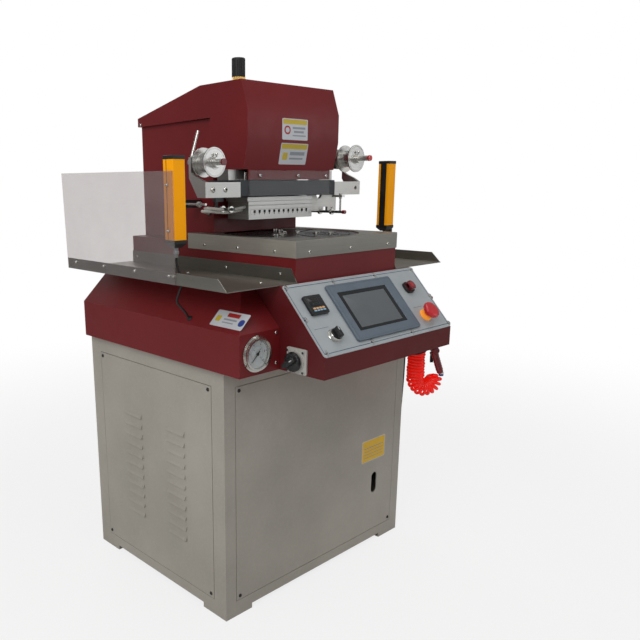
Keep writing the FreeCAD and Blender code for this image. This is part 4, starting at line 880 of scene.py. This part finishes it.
# knob: fluted base, a grip turned 35 degrees and a white mark
KNOB_TURN = Matrix.Rotation(math.radians(-35), 3, "X")
GRIP_AXES = columns(KNOB_TURN @ Vector((0, 1, 0)), KNOB_TURN @ UP, LEFT)
GRIP = [(-20, -4.0), (-16, -6), (12, -6), (20, -3.2),
        (20, 3.2), (12, 6), (-16, 6), (-20, 4.0)]
mesh = bmesh.new()
revolve(mesh, [(0, 9.3), (21.6, 9.3), (22.0, 10.2), (22.0, 14.6), (20.9, 16.2),
               (18.9, 17.4), (0, 17.6)],
        isolator, LEFT, 72, flutes=(range(2, 5), 6, (0, 1), 0.9))
extrude(mesh, GRIP, isolator + LEFT * 0.0170, GRIP_AXES, 12.6, bevel=2.0)
extrude(mesh, [(x - 11.5, y) for x, y in rounded_rect(9, 1.8, 0.8, 3)],
        isolator + LEFT * 0.0295, GRIP_AXES, 0.3, mat=1)
make_object(mesh, "isolator_knob_detail", ["black_plastic", "dial_white"],
            body="isolator_knob", replaces=("isolator_knob",))

mesh = bmesh.new()
for i in range(12):
    angle = math.radians(30 * i)
    dot = isolator + Vector((0, math.cos(angle), math.sin(angle))) * 0.0247 + LEFT * 0.0049
    revolve(mesh, [(0, 0), (0.55, 0), (0.55, 0.25), (0, 0.25)], dot, LEFT, 10)
make_object(mesh, "isolator_scale_dots", ["ink_black"])


# ========================================================= pressure gauge
gauge = box_centre("gauge_case")
gauge.y = depth(-0.0744)
DIAL_AXES = columns(Vector((1, 0, 0)), UP, FRONT)


def dial_angle(fraction):
    """Angle of a place on the scale, which runs clockwise through 270 degrees."""
    return math.radians(225 - 270 * fraction)


def dial_radial(angle):
    return Vector((math.cos(angle), 0, math.sin(angle)))


def dial_bar(mesh, angle, inner, outer, width, mat):
    """Radial stroke printed on the dial."""
    axes = columns(dial_radial(angle), dial_radial(angle + math.pi / 2), FRONT)
    half = width / 2
    extrude(mesh, [(inner, -half), (outer, -half), (outer, half), (inner, half)],
            gauge + FRONT * 0.0005, axes, 0.15, mat)


def dial_text(mesh, text, size, angle, radius, mat):
    curve = bpy.data.curves.new("numeral", "FONT")
    curve.body = text
    curve.size = size
    curve.extrude = 0.00008
    curve.align_x = "CENTER"
    curve.align_y = "CENTER"
    curve.resolution_u = 3
    item = bpy.data.objects.new("numeral", curve)
    bpy.context.scene.collection.objects.link(item)
    bpy.context.view_layer.update()
    evaluated = item.evaluated_get(bpy.context.evaluated_depsgraph_get())
    data = bpy.data.meshes.new_from_object(evaluated)
    origin = gauge + dial_radial(angle) * radius + FRONT * 0.00058
    data.transform(Matrix.Translation(origin) @ DIAL_AXES.to_4x4())
    first = len(mesh.faces)
    mesh.from_mesh(data)
    mesh.faces.ensure_lookup_table()
    for face in mesh.faces[first:]:
        face.material_index = mat
    bpy.data.objects.remove(item)
    bpy.data.meshes.remove(data)
    bpy.data.curves.remove(curve)


BLACK_INK, BLUE_INK = 1, 2
mesh = bmesh.new()
revolve(mesh, [(0, -0.1), (31.2, -0.1), (31.2, 0.5), (0, 0.5)], gauge, FRONT, 64)
for i in range(51):
    inner = 26.0 if i % 10 == 0 else (27.2 if i % 5 == 0 else 28.4)
    width = 0.9 if i % 10 == 0 else 0.45
    dial_bar(mesh, dial_angle(i / 50), inner, 30.0, width, BLACK_INK)
for i in range(31):
    dial_bar(mesh, dial_angle(i / 30), 16.6, 18.4 if i % 5 else 19.2, 0.4, BLUE_INK)
# rim band, open at the bottom
for degrees in range(0, 360, 5):
    if not 231 < degrees < 309:
        dial_bar(mesh, math.radians(degrees), 29.9, 30.35, 2.7, BLACK_INK)
for i in range(6):
    dial_text(mesh, str(i * 2), 0.0066, dial_angle(i / 5), 0.0226, BLACK_INK)
for i in range(4):
    dial_text(mesh, str(i * 50), 0.0034, dial_angle(i / 3), 0.0132, BLUE_INK)
revolve(mesh, [(0, 0.2), (2.4, 0.2), (2.4, 0.9), (0, 0.9)], gauge, FRONT, 20, BLACK_INK)
make_object(mesh, "gauge_dial", ["dial_white", "ink_black", "ink_blue"])

mesh = bmesh.new()
revolve(mesh, [(0, 4.6), (31.35, 4.6), (31.35, 5.4), (24, 5.75), (0, 5.9)], gauge, FRONT, 64)
make_object(mesh, "gauge_window", ["gauge_glass"])

mesh = bmesh.new()
for degrees in (90, 210, 330):
    angle = math.radians(degrees)
    foot = Vector((gauge.x, depth(-0.0735), gauge.z)) + dial_radial(angle) * 0.0384
    cap_screw(mesh, foot, FRONT, radius=0.0024, height=0.0013, turn=angle)
make_object(mesh, "gauge_flange_screws", ["polished_steel", "socket_dark"], smooth=40)


# =============================================== coiled air hose
# the coil's centre line hangs as a U: down the left leg, round the bend, up the right leg
LEFT_LEG = Vector((0.2060, depth(-0.1320), 0))
RIGHT_LEG = Vector((0.2414, depth(-0.1643), 0))
LEFT_TOP, RIGHT_TOP, BEND_TOP = 0.6225, 0.5435, 0.533
between = RIGHT_LEG - LEFT_LEG
bend_radius = between.length / 2
between.normalize()
coil_side = UP.cross(between).normalized()
left_length = LEFT_TOP - BEND_TOP
bend_length = math.pi * bend_radius
coil_length = left_length + bend_length + RIGHT_TOP - BEND_TOP


def hose_line(along):
    """Centre and direction at a distance along the U."""
    if along < left_length:
        return LEFT_LEG + Vector((0, 0, LEFT_TOP - along)), -UP
    if along < left_length + bend_length:
        angle = (along - left_length) / bend_radius
        centre = ((LEFT_LEG + RIGHT_LEG) / 2 + UP * BEND_TOP
                  - between * bend_radius * math.cos(angle)
                  - UP * bend_radius * math.sin(angle))
        return centre, between * math.sin(angle) - UP * math.cos(angle)
    return RIGHT_LEG + Vector((0, 0, BEND_TOP + along - left_length - bend_length)), UP


COIL_PITCH, COIL_RADIUS, HOSE_RADIUS = 0.0080, 0.0190, 0.0041
TAPER_LENGTH = 0.010    # the coil closes up over this length at each end
turns = coil_length / COIL_PITCH
steps = int(turns * 26)
coil = [Vector((LEFT_LEG.x, LEFT_LEG.y, 0.6299)), Vector((LEFT_LEG.x, LEFT_LEG.y, 0.6262))]
for i in range(steps + 1):
    along = coil_length * i / steps
    centre, direction = hose_line(along)
    normal = direction.cross(coil_side).normalized()
    taper = min(1.0, along / TAPER_LENGTH + 0.12, (coil_length - along) / TAPER_LENGTH + 0.12)
    wobble = 1 + 0.035 * math.sin(i * 0.173) + 0.02 * math.sin(i * 0.031 + 1.0)
    angle = 2 * math.pi * turns * i / steps
    coil.append(centre + (normal * math.cos(angle) + coil_side * math.sin(angle))
                * COIL_RADIUS * taper * wobble)
mesh = bmesh.new()
sweep(mesh, coil, HOSE_RADIUS)
make_object(mesh, "air_hose_coil", ["orange_hose"], smooth=60, replaces=("air_hose",))

# retaining ring hung round the coil
ring_centre = Vector((LEFT_LEG.x, LEFT_LEG.y, 0.6095))
ring_x = Vector((0.96, -0.12, 0.25)).normalized()
ring_y = Vector((0.12, 0.99, 0.0)).normalized()
mesh = bmesh.new()
sweep(mesh, [ring_centre + ring_x * 0.0262 * math.cos(2 * math.pi * i / 48)
             + ring_y * 0.0252 * math.sin(2 * math.pi * i / 48) for i in range(49)],
      0.0017, segments=8)
sweep(mesh, [(LEFT_LEG.x + 0.025, LEFT_LEG.y, 0.6165),
             (LEFT_LEG.x + 0.0255, LEFT_LEG.y, 0.6298)], 0.0016, segments=8)
make_object(mesh, "hose_ring", ["black_rubber"], smooth=60, replaces=("air_hose",))


# ================================================================= air gun
GUN_FOOT = Vector((0.2565, depth(-0.1770), 0.5412))
HANDLE_AXIS = Vector((-13.3, 12.1, 53.0)).normalized()
BARREL_AXIS = Vector((0.67, 0.742, 0)).normalized()
barrel = GUN_FOOT + UP * 0.011 + HANDLE_AXIS * 0.060
ridges = []
for i in range(5):
    ridges += [(8.7, 15 + 7 * i), (9.3, 17 + 7 * i), (9.3, 19 + 7 * i), (8.7, 21 + 7 * i)]
mesh = bmesh.new()
revolve(mesh, [(0, 7), (7.2, 7), (8.2, 8.6), (8.4, 12)] + ridges
        + [(9.2, 56), (9.6, 62), (8.6, 69), (0, 70)], GUN_FOOT, HANDLE_AXIS, 28)
revolve(mesh, [(0, -11), (7.2, -11), (8.8, -9.5), (9.4, -6), (9.4, 30), (8.8, 36),
               (7.0, 42), (5.2, 47), (0, 47)], barrel, BARREL_AXIS, 28)
revolve(mesh, [(9.5, 4), (9.9, 4.6), (9.9, 7.4), (9.5, 8), (8.9, 8), (8.9, 4)],
        barrel, BARREL_AXIS, 28, closed=True)
# nozzle
revolve(mesh, [(0, 46.5), (3.0, 46.5), (3.0, 78.5), (2.2, 80), (0, 80)],
        barrel, BARREL_AXIS, 16, mat=1)
make_object(mesh, "air_gun_body", ["dark_red_plastic", "polished_steel"],
            replaces=("air_gun",))

mesh = bmesh.new()
revolve(mesh, [(0, -1.5), (5.6, -1.5), (6.4, -0.6), (6.4, 3.4), (5.4, 4.2), (0, 4.2)],
        GUN_FOOT, UP, 24)
revolve(mesh, [(0, 4.0), (7.0, 4.0), (7.4, 4.8), (7.4, 7.6), (6.9, 8.2), (0, 8.2)],
        GUN_FOOT, UP, 6, mat=1)
make_object(mesh, "air_gun_swivel", ["fitting_blue", "fitting_white"],
            replaces=("air_gun",))

# trigger lever: outline as (along the barrel, up) from its pivot
LEVER = [(-1.5, 1.0), (1.5, 1.0), (1.9, -8), (2.6, -17), (1.6, -24),
         (0.2, -26.8), (-1.2, -26.0), (-1.0, -22), (-0.2, -15), (-1.2, -8)]
pivot = box_centre("air_gun_trigger")
pivot.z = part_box("air_gun_trigger")[1].z - 0.003
across = Vector((BARREL_AXIS.y, -BARREL_AXIS.x, 0))
mesh = bmesh.new()
revolve(mesh, [(0, -5.4), (2.9, -5.4), (2.9, 5.4), (0, 5.4)], pivot, across, 18)
extrude(mesh, LEVER, pivot - across * 0.0042, columns(BARREL_AXIS, UP, across), 8.4)
make_object(mesh, "air_gun_trigger_lever", ["black_plastic"],
            body="air_gun_trigger", replaces=("air_gun_trigger",))


# ================================================================= cables
# x, distance behind the front plane, z
POWER_CABLE = (
    (0.361, 0.008, 0.6298), (0.361, 0.008, 0.56), (0.3605, 0.010, 0.44),
    (0.361, 0.020, 0.33), (0.361, 0.060, 0.19), (0.362, 0.112, 0.118),
    (0.362, 0.17, 0.06), (0.364, 0.235, 0.026), (0.366, 0.30, 0.0075),
    (0.372, 0.38, 0.0055), (0.384, 0.515, 0.0055))
mesh = bmesh.new()
sweep(mesh, smooth_path([(x, depth(y), z) for x, y, z in POWER_CABLE]), 0.0040, segments=12)
make_object(mesh, "power_cable", ["cable_rubber"], smooth=60, replaces=("cables",))


def curtain_connection(points):
    """Connector, cable and two grommets under a light curtain bar."""
    low, high = extent(points)
    middle = (low + high) / 2
    label, side = ("left", -1) if middle.x < 0 else ("right", 1)
    radius = (high.x - low.x) / 2 / MILLI
    height = (high.z - low.z) / MILLI
    foot = Vector((middle.x, middle.y, low.z))

    mesh = bmesh.new()
    revolve(mesh, [(0, 0), (radius * 0.62, 0), (radius * 0.70, 1.2),
                   (radius * 0.70, height * 0.30), (radius * 0.96, height * 0.34),
                   (radius, height * 0.38), (radius, height * 0.66),
                   (radius * 0.9, height * 0.72), (radius * 0.8, height * 0.74),
                   (radius * 0.8, height), (0, height)], foot, UP, 36)
    make_object(mesh, "curtain_connector_" + label, ["galvanised_steel"], smooth=40,
                replaces=("cables",))

    # upper part in steps from the connector, lower part from the sloping deck's grommet;
    # columns: outward, y step, z
    deck = Vector((side * 0.3544, depth(0.108), 0.7357))
    upper = ((0, 0, low.z + 0.002), (0, 0, low.z - 0.010), (-0.0008, -0.004, 0.850),
             (-0.004, -0.010, 0.832), (-0.003, -0.012, 0.815), (0.001, -0.006, 0.795),
             (0.002, -0.001, 0.775))
    lower = ((0.014, 0, 0.753), (0.006, 0, 0.7425), (-0.001, 0, 0.7352))
    path = [(start.x + side * x, start.y + y, z)
            for start, rows in ((middle, upper), (deck, lower)) for x, y, z in rows]
    mesh = bmesh.new()
    sweep(mesh, smooth_path(path), 0.0026)
    make_object(mesh, "curtain_cable_" + label, ["cable_rubber"], smooth=60,
                replaces=("cables",))

    mesh = bmesh.new()
    revolve(mesh, [(0, -0.2), (7.0, -0.2), (7.0, 1.6), (5.6, 2.6), (4.6, 2.8), (3.4, 5.5),
                   (0, 5.5)], deck, (side * 0.690, 0, 0.724), 24)
    make_object(mesh, "curtain_cable_grommet_" + label, ["black_rubber"], smooth=40)

    mesh = bmesh.new()
    revolve(mesh, [(0, -0.1), (5.6, -0.1), (5.6, 1.2), (4.4, 1.9), (0, 1.9)],
            (middle.x - side * 0.003, middle.y - 0.012, 0.8191), UP, 20)
    make_object(mesh, "tray_grommet_" + label, ["black_rubber"], smooth=40)


for points in islands("cables"):
    if min(point.z for point in points) > 0.87:
        curtain_connection(points)


# ================================================================== labels
def label(name, lower_left, lower_right, upper_left, normal, fields):
    """Thin plate with printed fields: (left, bottom, right, top) as shares of the plate,
    material, corner radius in mm."""
    corner = Vector(lower_left)
    along = Vector(lower_right) - corner
    rise = Vector(upper_left) - corner
    normal = Vector(normal).normalized()
    axes = columns(along.normalized(), rise.normalized(), normal)
    mats = ["label_white"]
    mesh = bmesh.new()

    def patch(left, bottom, right, top, radius, start, height, mat):
        outline = rounded_rect((right - left) * along.length / MILLI,
                               (top - bottom) * rise.length / MILLI, radius, 4)
        origin = (corner + along * ((left + right) / 2) + rise * ((bottom + top) / 2)
                  + normal * start * MILLI)
        extrude(mesh, outline, origin, axes, height, mat)

    patch(0, 0, 1, 1, 3, start=0.02, height=0.35, mat=0)
    for k, (left, bottom, right, top, mat, radius) in enumerate(fields):
        if mat not in mats:
            mats.append(mat)
        # a field printed over another stands a little higher
        patch(left, bottom, right, top, radius, start=0.36, height=0.06 + 0.03 * k,
              mat=mats.index(mat))
    make_object(mesh, name, mats)


hood_front = depth(0.1156)
label("hood_label_upper", (-0.0486, hood_front, 1.137), (0.0432, hood_front, 1.137),
      (-0.0486, hood_front, 1.187), FRONT,
      [(0.03, 0.74, 0.97, 0.96, "label_yellow", 2), (0.40, 0.52, 0.90, 0.62, "label_grey", 0.5),
       (0.45, 0.34, 0.84, 0.44, "label_grey", 0.5), (0.40, 0.18, 0.92, 0.24, "label_grey", 0.5),
       (0.08, 0.26, 0.32, 0.66, "label_red", 9.5), (0.125, 0.335, 0.275, 0.585, "label_white", 6)])

# the hood's lower facet leans out towards the top
facet_bottom = Vector((0, depth(0.1299), 1.0668))
facet_rise = (Vector((0, hood_front, 1.1353)) - facet_bottom).normalized()
low_edge = facet_bottom + facet_rise * 0.0125
high_edge = facet_bottom + facet_rise * 0.0640
label("hood_label_lower", (-0.0495, *low_edge.yz), (0.0486, *low_edge.yz),
      (-0.0495, *high_edge.yz), (0, -facet_rise.z, facet_rise.y),
      [(0.03, 0.73, 0.97, 0.96, "label_yellow", 2), (0.36, 0.44, 0.90, 0.60, "label_grey", 0.5),
       (0.36, 0.24, 0.86, 0.32, "label_grey", 0.5), (0.10, 0.22, 0.28, 0.56, "label_yellow", 3)])


def deck_slope(share, behind_front):
    """Place on the deck's left slope, a share of the way up it."""
    return -0.366 + 0.097 * share, depth(behind_front), 0.7246 + 0.0924 * share


label("deck_label", deck_slope(0.09, 0.036), deck_slope(0.09, -0.066),
      deck_slope(0.41, 0.036), (-0.690, 0, 0.724),
      [(0.36, 0.66, 0.74, 0.90, "label_red", 1), (0.07, 0.30, 0.22, 0.66, "label_yellow", 2),
       (0.80, 0.22, 0.965, 0.64, "label_blue", 7.5), (0.32, 0.44, 0.72, 0.54, "label_grey", 0.5),
       (0.32, 0.26, 0.66, 0.33, "label_grey", 0.5)])

panel_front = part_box("front_panel")[0].y
label("front_panel_label", (0.165, panel_front, 0.261), (0.2720, panel_front, 0.261),
      (0.165, panel_front, 0.327), FRONT,
      [(0.02, 0.03, 0.98, 0.97, "sign_yellow", 2), (0.10, 0.62, 0.90, 0.65, "label_grey", 0.3),
       (0.10, 0.48, 0.90, 0.50, "label_grey", 0.3), (0.10, 0.34, 0.90, 0.36, "label_grey", 0.3),
       (0.10, 0.20, 0.90, 0.22, "label_grey", 0.3)])


# ======================================================== foil feed details
def thumb_screw(mesh, foot, radius, height):
    """Upright screw with a wide head on a thin stem."""
    revolve(mesh, [(0, 0), (1.6, 0), (1.6, height * 0.4), (radius, height * 0.42),
                   (radius * 1.04, height * 0.5), (radius * 1.04, height * 0.9),
                   (radius * 0.9, height), (0, height)], foot, UP, 24)


# reel, finish, radius of the outer ring on its flanges
for name, mat, outer_ring in (("unwind_reel", "reel_left", 31.2),
                              ("rewind_reel", "reel_right", 33.7)):
    centre = box_centre(name)
    mesh = bmesh.new()
    thumb_screw(mesh, (centre.x, depth(0.1195), centre.z + 0.0117), radius=3.2, height=8.0)
    make_object(mesh, name + "_thumb_screw", ["polished_steel"], body=name, smooth=40)
    # turned rings on both flanges
    mesh = bmesh.new()
    for flange, side in ((0.126, -1), (0.168, 1)):
        for ring in (outer_ring, 15.5):
            revolve(mesh, [(ring, -0.05), (ring, 0.28), (ring - 0.5, 0.42), (ring - 1.2, 0.42),
                           (ring - 1.7, 0.28), (ring - 1.7, -0.05)],
                    (centre.x, depth(flange), centre.z), (0, side, 0), 48, closed=True)
    make_object(mesh, name + "_turned_rings", [mat], body=name)

mesh = bmesh.new()
for points in islands("guide_collars"):
    middle = mean(points)
    if middle.x > 0:
        thumb_screw(mesh, middle + UP * 0.0072, radius=2.7, height=7.0)
make_object(mesh, "collar_thumb_screws", ["polished_steel"], smooth=40)

# red end cap of the driven shaft
centre = box_centre("rewind_reel")
mesh = bmesh.new()
revolve(mesh, [(0, -0.15), (6.8, -0.15), (7.7, 0.8), (7.7, 6.05), (0, 6.05)],
        (centre.x, depth(0.0780), centre.z), -FRONT, 28)
make_object(mesh, "rewind_end_cap", ["cap_red"], body="rewind_reel",
            smooth=40)

# dark strip in the outer groove of each light curtain bar: painted shade in the groove
mesh = bmesh.new()
for points in islands("light_curtain_bars"):
    low, high = extent(points)
    side, outer_x = (-1, low.x) if low.x < 0 else (1, high.x)
    extrude(mesh, rounded_rect(2.2, (high.z - low.z) / MILLI - 1, 0.4, 2),
            Vector((outer_x - side * 0.0019, low.y + 0.02425, (low.z + high.z) / 2)),
            basis((side, 0, 0)), 1.7)
make_object(mesh, "curtain_bar_groove_painted_shade", ["seam_dark"])

# braided heater leads, slack between the heated plate and the side of the column
plate_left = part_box("heater_plate")[0].x
LEAD_DROP = -0.0068     # second lead's height from the first
for k, (shift_y, drop, bow_x) in enumerate(((0.0, 0.0, -0.2010), (0.010, LEAD_DROP, -0.2070))):
    start = Vector((plate_left - 0.0002, depth(0.176) + shift_y, 0.9765 + drop))
    path = [start + Vector(step) for step in (
        (0.004, 0, 0), (0, 0, 0), (-0.016, 0.001, -0.0020), (-0.042, 0.004, -0.0050),
        (-0.066, 0.011, -0.0045))]
    path += [(bow_x, depth(0.204 + 0.006 * k), 0.9745 + drop),
             (bow_x - 0.001, depth(0.224 + 0.006 * k), 0.9740 + drop),
             (-0.1860 - 0.004 * k, depth(0.248 + 0.004 * k), 0.9735 + drop),
             (-0.1640, depth(0.268 + 0.001 * k), 0.9730 + drop * 1.6),
             (-0.1525, depth(0.2700), 0.9730 + drop * 1.9)]
    path = smooth_path(path, 12)
    mesh = bmesh.new()
    sweep(mesh, path, [0.0034 + 0.00045 * (i % 2) for i in range(len(path))], segments=12)
    lead = make_object(mesh, "heater_lead_%d" % k, ["braid"], body=None,
                       smooth=30)
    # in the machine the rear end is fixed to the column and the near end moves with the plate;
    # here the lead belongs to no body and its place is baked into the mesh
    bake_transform(lead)
mesh = bmesh.new()
for drop in (0.0, LEAD_DROP):
    revolve(mesh, [(0, -0.3), (5.4, -0.3), (5.4, 1.4), (4.6, 2.2), (0, 2.2)],
            (-0.1536, depth(0.2700), 0.9730 + drop * 1.9), LEFT, 20)
make_object(mesh, "lead_grommets", ["black_rubber"], smooth=40)


# ==================================================================== stage
def floor_material():
    """Pale floor that fades into the bright studio background with distance."""
    shader = principled("floor")
    distance = shader.vector_math("LENGTH", {0: shader.object_coords()})
    white = shader.add("ShaderNodeEmission", {0: (1, 1, 1)})
    fade = shader.remap(distance.outputs["Value"], to=(0.0, 1.0), source=(0.9, 3.2),
                        interpolation_type="SMOOTHSTEP")
    # the far floor reads white to the camera only, so that it doesn't light the object
    camera_ray = shader.add("ShaderNodeLightPath").outputs["Is Camera Ray"]
    share = shader.remap(fade, to=(0.80, 1.0), source=(0.0, 1.0))
    gate = shader.multiply(share, camera_ray)
    shader.end(shader.mix_shaders(gate, shader.bsdf, white))
    place = shader.coords()
    tone = shader.remap(shader.noise(place, scale=1.5, detail=5.0), to=(0.0, 1.0))
    shader.feed(shader.bsdf, {
        "Base Color": shader.mix(tone, (0.68, 0.68, 0.68), (0.74, 0.74, 0.74)),
        "Roughness": 0.7})
    shader.bump(shader.noise(place, scale=300.0, detail=3.0), strength=0.05, distance=0.001)


FLOOR_HALF, FLOOR_Z = 30.0, -0.0005
floor_material()
data = bpy.data.meshes.new("floor")
data.from_pydata([(x * FLOOR_HALF, y * FLOOR_HALF, FLOOR_Z)
                  for x, y in ((-1, -1), (1, -1), (1, 1), (-1, 1))], [], [(0, 1, 2, 3)])
floor = bpy.data.objects.new("floor", data)
bpy.context.scene.collection.objects.link(floor)
set_materials(floor, ["floor"])

# the world lights softly but looks pure white to the camera
world = bpy.data.worlds.new("studio")
bpy.context.scene.world = world
sky = Shader(world, "ShaderNodeOutputWorld")
lighting, backdrop = [
    sky.add("ShaderNodeBackground", {0: (1.0, 1.0, 1.0), 1: strength})
    for strength in (0.27, 1.0)]
camera_ray = sky.add("ShaderNodeLightPath").outputs["Is Camera Ray"]
sky.end(sky.mix_shaders(camera_ray, lighting, backdrop))

# name, place, target, size, power in watts, colour; y is from the lights' own centre
LIGHTS_CENTRE = Vector((0, depth(0.278), 0))
LIGHTS = (
    ("key", (-2.6, -1.4, 2.6), (0, 0, 0.8), 1.8, 40, (1.0, 0.985, 0.96)),
    ("top", (0.3, -0.8, 3.4), (0, -0.1, 0.9), 2.4, 24, (1, 1, 1)),
    ("fill", (2.2, -2.6, 1.5), (0, 0, 0.7), 1.6, 9, (0.96, 0.98, 1.0)),
    ("back", (0.8, 2.8, 2.2), (0, 0, 0.9), 1.6, 12, (1, 1, 1)),
    ("low", (-2.8, 0.2, 0.6), (-0.35, 0, 0.35), 1.2, 6, (1, 1, 1)),
)
for name, place, target, size, power, colour in LIGHTS:
    light = bpy.data.lights.new(name, "AREA")
    light.energy = power
    light.size = size
    light.color = colour
    lamp = bpy.data.objects.new(name, light)
    place = Vector(place) + LIGHTS_CENTRE
    target = Vector(target) + LIGHTS_CENTRE
    lamp.location = place
    lamp.rotation_euler = (target - place).to_track_quat("-Z", "Y").to_euler()
    bpy.context.scene.collection.objects.link(lamp)

# ================================================================== camera
CAMERA_PLACE = (-1.32598, depth(-1.11460), 1.03476)
YAW, PITCH, ROLL = 0.7397843, -0.2452487, -0.0066672    # radians; yaw turns from +y to +x
lens = bpy.data.cameras.new("camera")
lens.sensor_width = 36.0
lens.lens = 39.060765
lens.shift_x = 0.13008125
lens.shift_y = 0.0575921875
lens.clip_end = 200
view = Vector((math.sin(YAW) * math.cos(PITCH), math.cos(YAW) * math.cos(PITCH),
               math.sin(PITCH)))
level_right = Vector((math.cos(YAW), -math.sin(YAW), 0))
level_up = level_right.cross(view)
right = level_right * math.cos(ROLL) + level_up * math.sin(ROLL)
upward = level_up * math.cos(ROLL) - level_right * math.sin(ROLL)
camera = bpy.data.objects.new("camera", lens)
camera.matrix_world = Matrix.Translation(CAMERA_PLACE) @ columns(right, upward, -view).to_4x4()
bpy.context.scene.collection.objects.link(camera)
bpy.context.scene.camera = camera
bpy.context.scene.view_settings.view_transform = "Standard"
bpy.context.scene.view_settings.look = "None"
